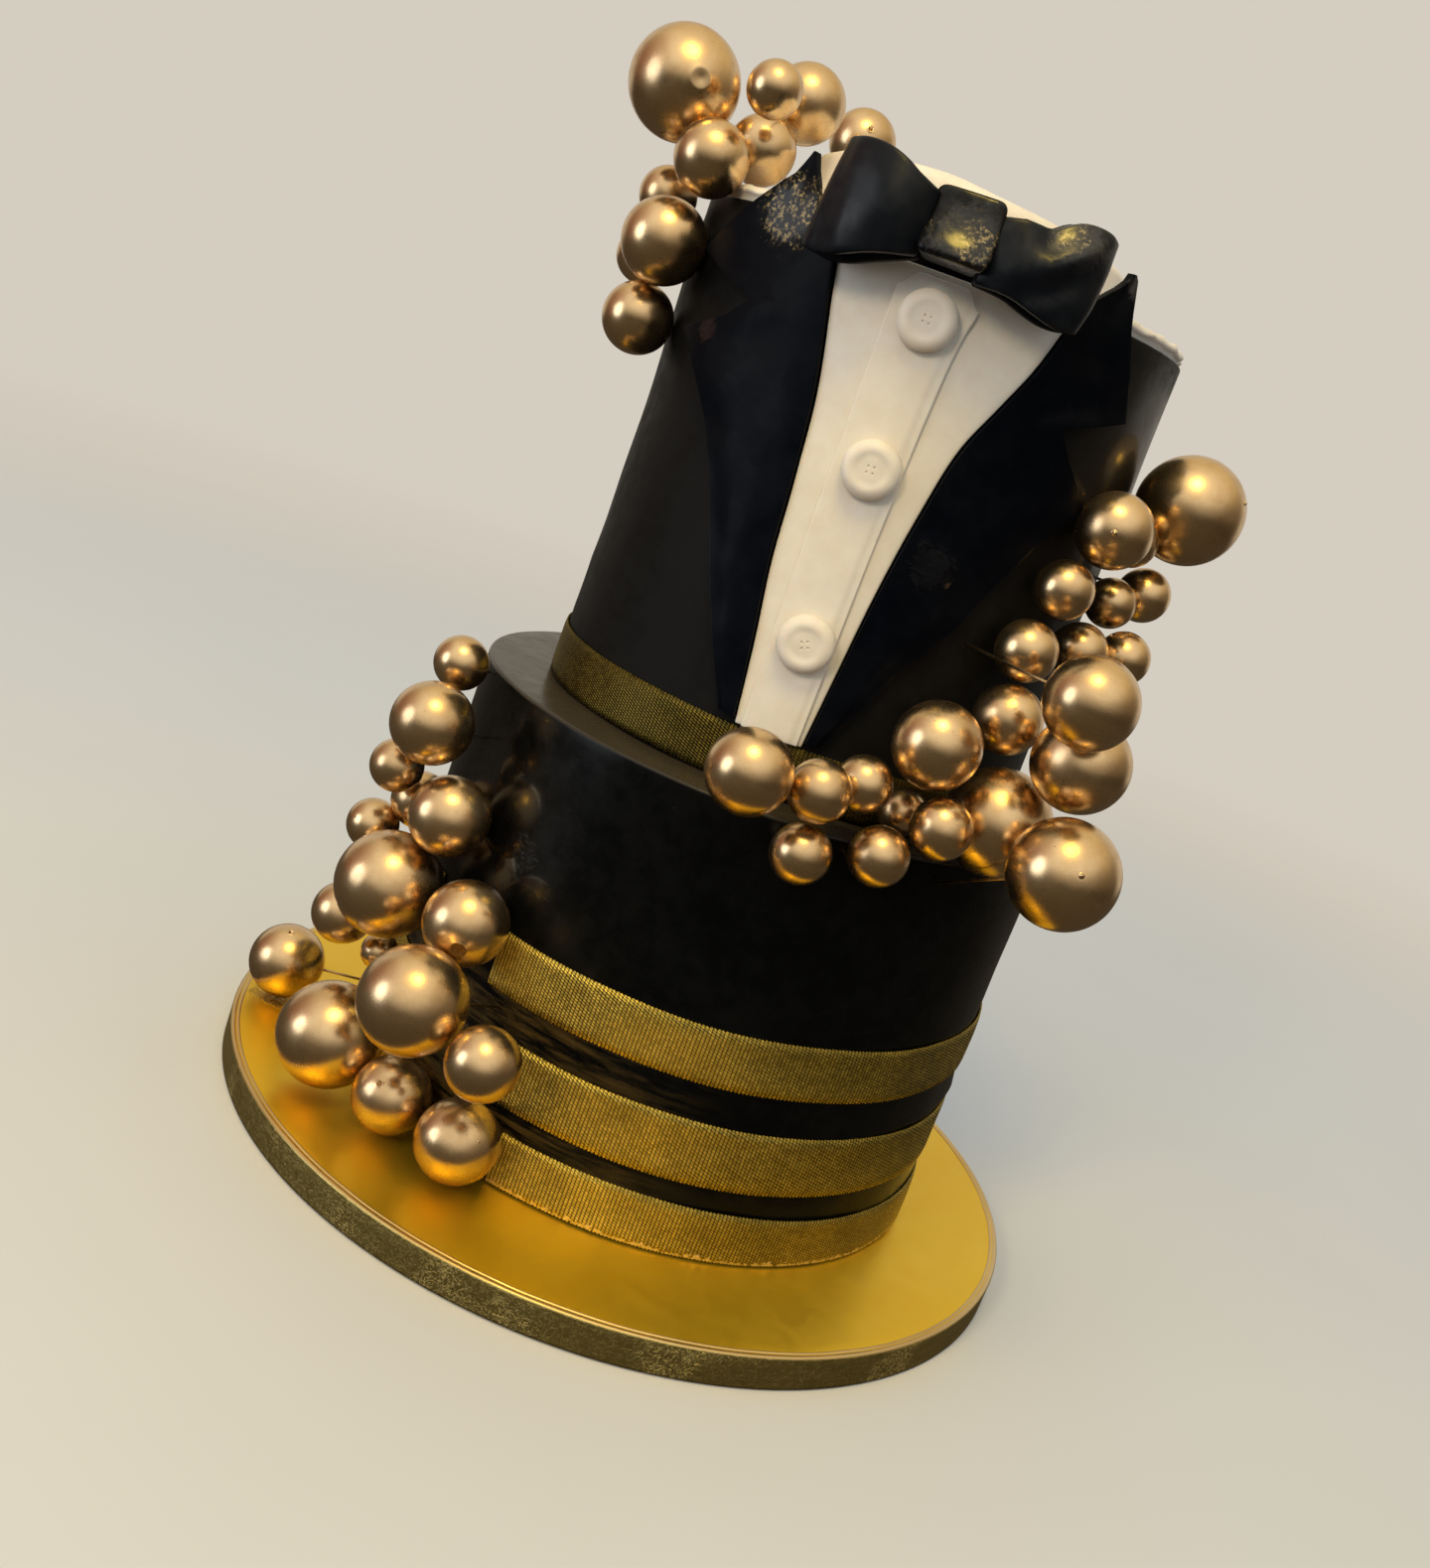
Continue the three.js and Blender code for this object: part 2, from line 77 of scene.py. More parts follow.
def soft_light(name, place, size, power, colour, dull=False):
    """A soft oval lamp of some width and height; a dull one leaves no shine on glossy things."""
    lamp = bpy.data.lights.new(name, "AREA")
    lamp.shape = "ELLIPSE"
    lamp.size, lamp.size_y = size
    lamp.energy = power
    lamp.color = colour
    holder = bpy.data.objects.new(name, lamp)
    scene.collection.objects.link(holder)
    holder.location = place
    holder.rotation_euler = (CAKE_MIDDLE - Vector(place)).to_track_quat("-Z", "Y").to_euler()
    holder.visible_glossy = not dull


# ---------------------------------------------------------------- node helpers


def feed(tree, socket, value):
    """Joins a socket to an input, or writes a plain value into it."""
    if isinstance(value, bpy.types.NodeSocket):
        tree.links.new(value, socket)
    else:
        socket.default_value = value


def wired(tree, kind, inputs=None, **settings):
    """A node of that kind with its settings, its inputs given as values or as sockets to join."""
    node = tree.nodes.new(kind)
    for name, value in settings.items():
        setattr(node, name, value)
    for key, value in (inputs or {}).items():
        feed(tree, node.inputs[key], value)
    return node


def math_of(tree, operation, *values):
    return wired(tree, "ShaderNodeMath", dict(enumerate(values)), operation=operation).outputs[0]


def sum_of(tree, value, factor, base):
    """value * factor + base"""
    return math_of(tree, "MULTIPLY_ADD", value, factor, base)


def product_of(tree, first, *others):
    """All the values multiplied together."""
    for other in others:
        first = math_of(tree, "MULTIPLY", first, other)
    return first


def apart_of(tree, vector):
    """The three parts of a vector."""
    return wired(tree, "ShaderNodeSeparateXYZ", {0: vector}).outputs


def stretched(tree, vector, scale):
    """Coordinates scaled unevenly, so that a pattern on them is drawn out."""
    node = wired(tree, "ShaderNodeMapping", {"Vector": vector, "Scale": scale}, vector_type="POINT")
    return node.outputs[0]


def sheet_of(tree):
    """A bent sheet's own map."""
    return wired(tree, "ShaderNodeUVMap", uv_map="sheet").outputs[0]


def ramp_of(tree, value, low, high, to_low=0.0, to_high=1.0, smooth=True):
    node = wired(tree, "ShaderNodeMapRange",
                 {"Value": value, "From Min": low, "From Max": high, "To Min": to_low, "To Max": to_high},
                 interpolation_type="SMOOTHSTEP" if smooth else "LINEAR")
    return node.outputs["Result"]


def mix_of(tree, factor, first, second):
    node = wired(tree, "ShaderNodeMix", data_type="RGBA", blend_type="MIX")
    for key, value in ((0, factor), (6, first), (7, second)):
        feed(tree, node.inputs[key], value)
    return node.outputs[2]


def noise_of(tree, vector, scale, detail=2.0, roughness=0.5, distortion=0.0):
    node = wired(tree, "ShaderNodeTexNoise",
                 {"Vector": vector, "Scale": scale, "Detail": detail, "Roughness": roughness,
                  "Distortion": distortion})
    return node.outputs["Fac"]


def cells_of(tree, vector, scale):
    """Distance from the middle of small cells."""
    node = wired(tree, "ShaderNodeTexVoronoi", {"Vector": vector, "Scale": float(scale)}, feature="F1")
    return node.outputs["Distance"]


def new_group(name, takes, gives):
    """An empty node group with named inputs and outputs; returns its tree, its inlet and its outlet."""
    tree = bpy.data.node_groups.new(name, "ShaderNodeTree")
    kinds = {"value": "NodeSocketFloat", "vector": "NodeSocketVector", "colour": "NodeSocketColor"}
    for label, kind in takes:
        tree.interface.new_socket(name=label, in_out="INPUT", socket_type=kinds[kind])
    for label, kind in gives:
        tree.interface.new_socket(name=label, in_out="OUTPUT", socket_type=kinds[kind])
    return tree, tree.nodes.new("NodeGroupInput").outputs, tree.nodes.new("NodeGroupOutput").inputs


def placed(tree, group, inputs):
    node = tree.nodes.new("ShaderNodeGroup")
    node.node_tree = group
    for key, value in inputs.items():
        feed(tree, node.inputs[key], value)
    return node.outputs


def new_finish(name, **constants):
    """A material with one Principled shader: material, its tree, the shader and object coordinates."""
    material = bpy.data.materials.new(name)
    material.use_nodes = True
    tree = material.node_tree
    tree.nodes.clear()
    shader = wired(tree, "ShaderNodeBsdfPrincipled")
    for key, value in constants.items():
        shader.inputs[key.replace("_", " ")].default_value = value
    out = wired(tree, "ShaderNodeOutputMaterial")
    tree.links.new(shader.outputs[0], out.inputs[0])
    place = wired(tree, "ShaderNodeTexCoord").outputs["Object"]
    return material, tree, shader, place


def raise_bump(tree, shader, height):
    """Relief from a height in millimetres."""
    bump = wired(tree, "ShaderNodeBump", {"Strength": 1.0, "Distance": MM, "Height": height})
    tree.links.new(bump.outputs[0], shader.inputs["Normal"])


# ---------------------------------------------------------------- shared surface effects


def make_icing_group():
    """Rolled icing: slow swells, small ripples, fine grain and stray pits."""
    tree, inlet, outlet = new_group(
        "rolled icing surface",
        (("Place", "vector"), ("Swell", "value"), ("Ripple", "value"), ("Grain", "value"), ("Pits", "value")),
        (("Height", "value"), ("Mottle", "value"), ("Pit", "value")))
    swell = noise_of(tree, inlet["Place"], 34, 2, 0.45)
    ripple = noise_of(tree, inlet["Place"], 150, 3, 0.55, 0.4)
    grain = noise_of(tree, inlet["Place"], 1300, 3, 0.6)
    cells = cells_of(tree, inlet["Place"], 170)
    where = ramp_of(tree, noise_of(tree, inlet["Place"], 46, 1), 0.56, 0.66)
    pit = product_of(tree, ramp_of(tree, cells, 0.16, 0.05), where)
    height = product_of(tree, swell, inlet["Swell"])
    height = sum_of(tree, ripple, inlet["Ripple"], height)
    height = sum_of(tree, grain, inlet["Grain"], height)
    drop = product_of(tree, pit, inlet["Pits"])
    tree.links.new(math_of(tree, "SUBTRACT", height, drop), outlet["Height"])
    blend = sum_of(tree, ripple, 0.6, product_of(tree, swell, 0.4))
    tree.links.new(ramp_of(tree, blend, 0.3, 0.7), outlet["Mottle"])
    tree.links.new(pit, outlet["Pit"])
    return tree


def make_patch_group():
    """A ragged round patch about one place, such as a wet smear or a crumple."""
    tree, inlet, outlet = new_group(
        "ragged patch",
        (("Place", "vector"), ("Middle", "vector"), ("Reach", "value"), ("Ragged", "value")),
        (("Mask", "value"),))
    apart = wired(tree, "ShaderNodeVectorMath", {0: inlet["Place"], 1: inlet["Middle"]}, operation="DISTANCE")
    share = math_of(tree, "DIVIDE", apart.outputs["Value"], inlet["Reach"])
    torn = math_of(tree, "SUBTRACT", noise_of(tree, inlet["Place"], 330, 3, 0.6, 0.6), 0.5)
    share = sum_of(tree, torn, inlet["Ragged"], share)
    tree.links.new(ramp_of(tree, share, 1.0, 0.55), outlet["Mask"])
    return tree


ICING = make_icing_group()
PATCH = make_patch_group()


CRUMPLE_SCALE = 560


def crumple_of(tree, place):
    """Sharp little facets, for crumpled or sticky places."""
    soft = noise_of(tree, place, CRUMPLE_SCALE * 0.6, 3, 0.6, 1.0)
    return sum_of(tree, soft, 1.2, cells_of(tree, place, CRUMPLE_SCALE))


# ---------------------------------------------------------------- finishes

# Painted highlights: bright gold for flecks that stand in for glints of light on crumpled, wet icing.
PAINTED_GLINT_GOLD = (0.70, 0.55, 0.27, 1)
RUBBED_GOLD = (0.120, 0.078, 0.024, 1)
# Painted reflection: the pale colour of the lower tier's top edge, where the wall behind would be reflected.
PAINTED_TOP_REFLECTION = (0.040, 0.034, 0.027, 1)


def with_patches(tree, place, patches, coat, height):
    """Wet or crumpled patches: (middle in mm, reach in mm, raggedness, wetness, crumple in mm)."""
    for middle, reach, ragged, wetness, crumple in patches:
        mask = placed(tree, PATCH, {"Place": place, "Middle": Vector(middle) * MM, "Reach": reach * MM,
                                    "Ragged": ragged})["Mask"]
        coat = math_of(tree, "MAXIMUM", coat, product_of(tree, mask, wetness))
        if crumple:
            folds = product_of(tree, crumple_of(tree, place), mask)
            height = sum_of(tree, folds, crumple, height)
    return coat, height


def with_painted_glints(tree, place, glint_places, colour, height):
    """Painted highlights: bright gold flecks round some places, standing in for glints of light on the icing,
    and raised a little: (middle in mm, reach in mm).
    """
    for middle, reach in glint_places:
        mask = placed(tree, PATCH, {"Place": place, "Middle": Vector(middle) * MM, "Reach": reach * MM,
                                    "Ragged": 1.3})["Mask"]
        fleck = ramp_of(tree, noise_of(tree, place, 900, 3, 0.65), 0.50, 0.58)
        cloud = ramp_of(tree, noise_of(tree, place, 260, 2, 0.6), 0.36, 0.58)
        mask = product_of(tree, fleck, cloud, mask)
        # Painted highlight: the flecks are coloured bright gold where glints of light would show.
        colour = mix_of(tree, product_of(tree, mask, 0.42), colour, PAINTED_GLINT_GOLD)
        height = sum_of(tree, mask, 0.12, height)
    return colour, height


def with_smears_and_top_reflection(tree, shader, place, colour, height):
    """Gold rubbed off on the icing between the ribbons, at the left of the front, and a paler top: a painted
    reflection of the wall behind, seen at a grazing angle.
    """
    x, y, z = apart_of(tree, place)
    low, left, near = (ramp_of(tree, z, 0.078, 0.072), ramp_of(tree, x, 0.035, -0.045),
                       ramp_of(tree, y, -0.02, -0.07))
    streaks = stretched(tree, place, (0.3, 0.3, 2.6))
    torn = ramp_of(tree, noise_of(tree, streaks, 110, 5, 0.7, 0.25), 0.40, 0.66)
    mask = product_of(tree, low, left, torn, near)
    colour = mix_of(tree, mask, colour, RUBBED_GOLD)
    tree.links.new(product_of(tree, mask, 0.4), shader.inputs["Metallic"])
    # Painted reflection: the top of the tier is coloured paler, as the wall behind would show in it at a
    # grazing angle.
    level = ramp_of(tree, z, (LOWER.top - 1.2) * MM, (LOWER.top - 0.4) * MM)
    return mix_of(tree, level, colour, PAINTED_TOP_REFLECTION), sum_of(tree, mask, 0.05, height)


def black_icing(name, dark, pale, roughness, shine, swell=0.35, ripple=0.05, grain=0.012, pits=0.0, wet=0.0,
                wet_roughness=0.12, patches=(), glint_places=(), shiny_edges=False, smears_and_top_reflection=False):
    """Black rolled icing, wet or crumpled in its patches, with painted highlights of gold flecks in its glint
    places, and with gold smears and a painted reflection on its top where asked.
    """
    material, tree, shader, place = new_finish(name, IOR=1.47, Specular_IOR_Level=shine,
                                               Coat_Roughness=wet_roughness)
    icing = placed(tree, ICING, {"Place": place, "Swell": swell, "Ripple": ripple, "Grain": grain,
                                 "Pits": pits})
    colour = mix_of(tree, icing["Mottle"], (*dark, 1), (*pale, 1))
    rough = ramp_of(tree, icing["Mottle"], 0.0, 1.0, roughness - 0.05, roughness + 0.07)
    coat = product_of(tree, ramp_of(tree, icing["Mottle"], 0.2, 0.9), wet)
    if shiny_edges:
        across = apart_of(tree, sheet_of(tree))["X"]
        coat = math_of(tree, "MAXIMUM", coat, ramp_of(tree, across, 0.985, 0.997))
    coat, height = with_patches(tree, place, patches, coat, icing["Height"])
    colour, height = with_painted_glints(tree, place, glint_places, colour, height)
    if smears_and_top_reflection:
        colour, height = with_smears_and_top_reflection(tree, shader, place, colour, height)
    tree.links.new(colour, shader.inputs["Base Color"])
    tree.links.new(rough, shader.inputs["Roughness"])
    tree.links.new(coat, shader.inputs["Coat Weight"])
    raise_bump(tree, shader, height)
    return material


def white_icing():
    material, tree, shader, place = new_finish("white icing", IOR=1.45, Subsurface_Weight=0.12,
                                               Subsurface_Scale=0.003)
    icing = placed(tree, ICING, {"Place": place, "Swell": 0.5, "Ripple": 0.07, "Grain": 0.01, "Pits": 0.03})
    colour = mix_of(tree, icing["Mottle"], (0.84, 0.79, 0.71, 1), (0.78, 0.71, 0.61, 1))
    tree.links.new(colour, shader.inputs["Base Color"])
    tree.links.new(ramp_of(tree, icing["Mottle"], 0, 1, 0.44, 0.58), shader.inputs["Roughness"])
    raise_bump(tree, shader, icing["Height"])
    return material


def pearl_gold():
    """Lacquered balls: champagne gold with a faint orange-peel and darker dusty freckles."""
    material, tree, shader, place = new_finish("pearl gold", Metallic=1.0, Coat_Weight=0.1,
                                               Coat_Roughness=0.15)
    peel = noise_of(tree, place, 520, 2, 0.5)
    waves = noise_of(tree, place, 75, 2, 0.5)
    freckle = ramp_of(tree, noise_of(tree, place, 900, 2, 0.6), 0.66, 0.76)
    dust = ramp_of(tree, noise_of(tree, place, 130, 3, 0.6), 0.35, 0.75)
    colour = mix_of(tree, dust, (0.80, 0.585, 0.335, 1), (0.69, 0.48, 0.26, 1))
    colour = mix_of(tree, product_of(tree, freckle, 0.5), colour, (0.42, 0.25, 0.12, 1))
    tree.links.new(colour, shader.inputs["Base Color"])
    tree.links.new(ramp_of(tree, dust, 0, 1, 0.25, 0.33), shader.inputs["Roughness"])
    pimple = product_of(tree, ramp_of(tree, cells_of(tree, place, 105), 0.055, 0.02),
                        ramp_of(tree, noise_of(tree, place, 60, 1), 0.5, 0.56))
    height = sum_of(tree, waves, 0.24, product_of(tree, peel, 0.008))
    raise_bump(tree, shader, sum_of(tree, pimple, 0.12, height))
    return material


def wire_metal():
    material, tree, shader, place = new_finish("wire", Metallic=1.0)
    worn = noise_of(tree, place, 700, 2)
    colour = mix_of(tree, worn, (0.30, 0.21, 0.12, 1), (0.52, 0.38, 0.22, 1))
    tree.links.new(colour, shader.inputs["Base Color"])
    tree.links.new(ramp_of(tree, worn, 0, 1, 0.25, 0.45), shader.inputs["Roughness"])
    return material


STITCH = 1.05   # length of a stitch, in 20ths of a ribbon's width
# Painted shade and light: a dark copy of the gold for the shaded grooves and a bright one for the lit
# threads.
GROOVE_SHADE_GOLD, THREAD_GOLD = (0.045, 0.0306, 0.0045), (0.98, 0.76, 0.16)


def woven_gold(name, tone=1.0, hem=False):
    """Metallic ribbon. Its map counts ribs along and 20ths across; ribs twist like little cords."""
    material, tree, shader, place = new_finish(name)
    along, across, _ = apart_of(tree, sheet_of(tree))
    rib = math_of(tree, "FLOOR", along)
    in_rib = math_of(tree, "FRACT", along)
    half_step = product_of(tree, math_of(tree, "MODULO", rib, 2.0), 0.5)
    twist = sum_of(tree, across, 1 / STITCH, half_step)
    twist = math_of(tree, "FRACT", math_of(tree, "ADD", twist, product_of(tree, in_rib, 0.5)))
    knot = math_of(tree, "ABSOLUTE", math_of(tree, "SUBTRACT", twist, 0.5))
    ridge = math_of(tree, "SINE", product_of(tree, in_rib, math.pi))
    row = math_of(tree, "FLOOR", math_of(tree, "DIVIDE", across, STITCH))
    stitch = wired(tree, "ShaderNodeCombineXYZ", {0: rib, 1: row}).outputs[0]
    spark = wired(tree, "ShaderNodeTexWhiteNoise", {"Vector": stitch}, noise_dimensions="2D").outputs["Value"]
    cloud = noise_of(tree, place, 60, 3, 0.6)
    # Painted shade: the ribbon is coloured darker towards the right, where less light falls, and brighter at
    # the left.
    shade_to_right = ramp_of(tree, apart_of(tree, place)["X"], -0.06, 0.07, 1.18, 0.72)
    # Painted light and shade: the colour is darkest in the grooves between cords and between twists and
    # brightest on the cords' crowns; the random brightness of each stitch is partly its own tone and partly
    # painted glint.
    light = product_of(tree, sum_of(tree, ramp_of(tree, knot, 0.5, 0.1), 0.6, 0.4),
                       ramp_of(tree, ridge, 0.0, 0.95, 0.10, 1.0),
                       sum_of(tree, spark, 0.42, 0.56),
                       shade_to_right, ramp_of(tree, cloud, 0.25, 0.7, 0.75, 1.15))
    groove_shade, thread = ([tone * part for part in colour] for colour in (GROOVE_SHADE_GOLD, THREAD_GOLD))
    colour = mix_of(tree, ramp_of(tree, light, 0.0, 1.0, smooth=False), (*groove_shade, 1), (*thread, 1))
    if hem:
        torn = noise_of(tree, place, 520, 3, 0.6)
        lace = ramp_of(tree, sum_of(tree, torn, 8.0, across), 5.4, 4.6)
        colour = mix_of(tree, product_of(tree, lace, 0.9), colour, (1.0, 0.84, 0.58, 1))
    tree.links.new(colour, shader.inputs["Base Color"])
    tree.links.new(ramp_of(tree, light, 0, 1, 0.85, 0.95), shader.inputs["Metallic"])
    tree.links.new(ramp_of(tree, spark, 0, 1, 0.34, 0.5), shader.inputs["Roughness"])
    height = product_of(tree, ramp_of(tree, knot, 0.5, 0.05), 0.14)
    height = sum_of(tree, spark, 0.07, height)
    raise_bump(tree, shader, sum_of(tree, cloud, 0.5, height))
    return material


FOIL_DENT = Vector((-135, -28, 12)) * MM


def gold_foil(name, pale, deep, metallic):
    """Smooth foil paper of the board's top, with faint wrinkles, handling marks and one dent."""
    material, tree, shader, place = new_finish(name, Metallic=metallic)
    sway = noise_of(tree, place, 9, 3, 0.5, 0.5)
    scuff = noise_of(tree, place, 70, 4, 0.6, 0.6)
    fine = noise_of(tree, place, 600, 3, 0.6)
    dent = placed(tree, PATCH, {"Place": place, "Middle": FOIL_DENT, "Reach": 0.011, "Ragged": 1.2})["Mask"]
    colour = mix_of(tree, ramp_of(tree, sway, 0.3, 0.7), (*deep, 1), (*pale, 1))
    # Painted shade: the dent is coloured darker, as shade in its hollow.
    colour = mix_of(tree, product_of(tree, dent, 0.5), colour, (0.25, 0.14, 0.02, 1))
    tree.links.new(colour, shader.inputs["Base Color"])
    tree.links.new(ramp_of(tree, scuff, 0.3, 0.75, 0.36, 0.46), shader.inputs["Roughness"])
    height = sum_of(tree, sway, 0.9, product_of(tree, fine, 0.004))
    height = sum_of(tree, scuff, 0.02, height)
    torn = product_of(tree, dent, crumple_of(tree, place))
    raise_bump(tree, shader, sum_of(tree, torn, 0.35, height))
    return material


def embossed_foil():
    """Darker foil round the board's edge, stamped with small sprigs that show in clumps."""
    material, tree, shader, place = new_finish("embossed foil", Metallic=1.0)
    sprig = ramp_of(tree, noise_of(tree, place, 620, 3, 0.7, 2.0), 0.50, 0.62)
    clump = ramp_of(tree, noise_of(tree, place, 34, 2, 0.5), 0.46, 0.60)
    brushed = noise_of(tree, stretched(tree, place, (1, 1, 14)), 60, 3, 0.6)
    stamp = product_of(tree, sprig, sum_of(tree, clump, 0.7, 0.3))
    colour = mix_of(tree, ramp_of(tree, brushed, 0.3, 0.7), (0.50, 0.415, 0.14, 1), (0.63, 0.52, 0.185, 1))
    colour = mix_of(tree, stamp, colour, (0.95, 0.78, 0.36, 1))
    tree.links.new(colour, shader.inputs["Base Color"])
    tree.links.new(ramp_of(tree, stamp, 0, 1, 0.36, 0.45), shader.inputs["Roughness"])
    raise_bump(tree, shader, sum_of(tree, stamp, 0.12, product_of(tree, brushed, 0.05)))
    return material


# ---------------------------------------------------------------- shapes


class Tier:
    """One tier's side, read from its solid: centre, heights and radii in millimetres."""

    def __init__(self, node, top_radius):
        low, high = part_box(node)
        self.node = node
        self.x, self.y = (low.x + high.x) / 2 / MM, (low.y + high.y) / 2 / MM
        self.bottom, self.top = low.z / MM, high.z / MM
        self.foot_radius, self.top_radius = (high.x - low.x) / 2 / MM, top_radius

    def radius(self, z):
        t = min(max((z - self.bottom) / (self.top - self.bottom), 0), 1.2)
        return self.foot_radius + (self.top_radius - self.foot_radius) * t

    def point(self, azimuth, radius, z):
        a = math.radians(azimuth)
        return Vector((self.x + radius * math.sin(a), self.y - radius * math.cos(a), z))

    def skin(self, azimuth, z, offset=0.0):
        return self.point(azimuth, self.radius(z) + offset, z)

    def outward(self, point):
        """The level way from the tier's axis to a point."""
        return Vector((point.x - self.x, point.y - self.y, 0))

    def azimuth(self, point):
        out = self.outward(point)
        return math.degrees(math.atan2(out.x, -out.y))


LOWER = Tier("lower_tier", 107)
UPPER = Tier("upper_tier", 83)


def ease(t):
    """Rises smoothly from 0 at t = 0 to 1 at t = 1."""
    t = min(max(t, 0), 1)
    return t * t * (3 - 2 * t)


def curve_through(table, key):
    """Value of a smooth curve through [key, value] pairs, held level beyond its ends."""
    if key <= table[0][0]:
        return table[0][1]
    if key >= table[-1][0]:
        return table[-1][1]
    i = max(n for n, pair in enumerate(table) if pair[0] <= key)
    i = min(i, len(table) - 2)
    (k0, v0), (k1, v1) = table[i], table[i + 1]
    before, after = table[max(i - 1, 0)], table[min(i + 2, len(table) - 1)]
    span = k1 - k0
    m0 = (v1 - before[1]) / (k1 - before[0]) * span if i else v1 - v0
    m1 = (after[1] - v0) / (after[0] - k0) * span if i + 2 < len(table) else v1 - v0
    t = (key - k0) / span
    return ((2 * t**3 - 3 * t**2 + 1) * v0 + (t**3 - 2 * t**2 + t) * m0
            + (3 * t**2 - 2 * t**3) * v1 + (t**3 - t**2) * m1)


def line_through(table, key):
    """Value of straight lines through [key, value] pairs, for outlines with corners."""
    if key <= table[0][0]:
        return table[0][1]
    for (k0, v0), (k1, v1) in zip(table, table[1:]):
        if key <= k1:
            return v0 + (v1 - v0) * (key - k0) / (k1 - k0)
    return table[-1][1]


def rounded_corner(radius, z, size, steps, turn=1):
    """Profile points of a rounded outer edge that ends level at (radius - size, z)."""
    return [(radius - size + size * math.cos(a), z - turn * size + turn * size * math.sin(a))
            for a in (i / steps * math.pi / 2 for i in range(steps + 1))]


def turned(bm, profile, steps, matrix):
    """Spins a profile of (radius, height) pairs about the upright axis, then sets it in place."""
    before = set(bm.verts)
    ring = [bm.verts.new((r, 0, z)) for r, z in profile]
    edges = [bm.edges.new(pair) for pair in zip(ring, ring[1:])]
    bmesh.ops.spin(bm, geom=ring + edges, cent=(0, 0, 0), axis=(0, 0, 1), angle=2 * math.pi, steps=steps,
                   use_merge=True)
    bmesh.ops.remove_doubles(bm, verts=[v for v in bm.verts if v not in before], dist=1e-4)
    made = [v for v in bm.verts if v not in before]
    bmesh.ops.recalc_face_normals(bm, faces=list({f for v in made for f in v.link_faces}))
    bmesh.ops.transform(bm, matrix=matrix, verts=made)
    return made


def bent_slab(columns, rows, place, uv_of=None):
    """A flat slab in columns and rows, bent by place(u, v, side); side 0 is its back and 1 its face."""
    bm = bmesh.new()
    bmesh.ops.create_grid(bm, x_segments=columns, y_segments=rows, size=0.5)
    back = bm.faces[:]
    raised = bmesh.ops.extrude_face_region(bm, geom=back, use_keep_orig=True)["geom"]
    face_side = [part for part in raised if isinstance(part, bmesh.types.BMVert)]
    bmesh.ops.translate(bm, vec=(0, 0, 1), verts=face_side)
    bmesh.ops.recalc_face_normals(bm, faces=bm.faces)
    if uv_of:
        layer = bm.loops.layers.uv.new("sheet")
        for face in bm.faces:
            for loop in face.loops:
                loop[layer].uv = uv_of(loop.vert.co.x + 0.5, loop.vert.co.y + 0.5)
    for vert in bm.verts:
        vert.co = place(vert.co.x + 0.5, vert.co.y + 0.5, vert.co.z)
    bmesh.ops.recalc_face_normals(bm, faces=bm.faces)
    return bm


def tube(bm, start, end, radius):
    """A plain rod between two points; gives its faces."""
    before = set(bm.faces)
    run = end - start
    bmesh.ops.create_cone(bm, cap_ends=True, segments=12, radius1=radius, radius2=radius, depth=run.length,
                          matrix=Matrix.Translation((start + end) / 2) @ upright_to(run))
    return set(bm.faces) - before


def upright_to(direction):
    """The turn that lays the upright axis along a direction."""
    return Vector((0, 0, 1)).rotation_difference(direction).to_matrix().to_4x4()


def round_edges(bm, width, segments, angle=50):
    """Rounds all edges where faces meet at more than the angle."""
    limit = math.radians(angle)
    sharp = [e for e in bm.edges if len(e.link_faces) == 2 and e.calc_face_angle() > limit]
    bmesh.ops.bevel(bm, geom=sharp, offset=width, offset_type="OFFSET", segments=segments, profile=0.5,
                    affect="EDGES", clamp_overlap=True, material=-1)


def ripple(point, scale, depth, seed=0.0):
    """Smooth noise of about plus or minus depth at a point in millimetres."""
    return depth * noise.noise(Vector(point) * scale + Vector((seed, 2.7 * seed, -seed)))


def set_out(name, bm, materials, nodes, subdivide=0):
    """Turns a mesh in millimetres into a finished piece that stands for its solids."""
    bmesh.ops.scale(bm, vec=Vector((MM, MM, MM)), verts=bm.verts)
    mesh = bpy.data.meshes.new(name)
    bm.to_mesh(mesh)
    bm.free()
    for material in materials:
        mesh.materials.append(material)
    mesh.shade_smooth()
    piece = bpy.data.objects.new(name, mesh)
    scene.collection.objects.link(piece)
    if subdivide:
        smoother = piece.modifiers.new("smooth", "SUBSURF")
        smoother.levels = smoother.render_levels = subdivide
    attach(piece, "root")
    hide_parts(*nodes)


# ---------------------------------------------------------------- board


# The folded paper round the board's rim, as (inwards from the edge, above the lip): two creases and a ridge.
RIM_FOLD = ((1.7, -0.05), (1.95, -0.3), (2.2, -0.32), (2.4, 0), (2.7, 0.12), (3.1, 0), (3.3, -0.2))
RIM_LIP = 0.25
BAND_CORNER = 1.0


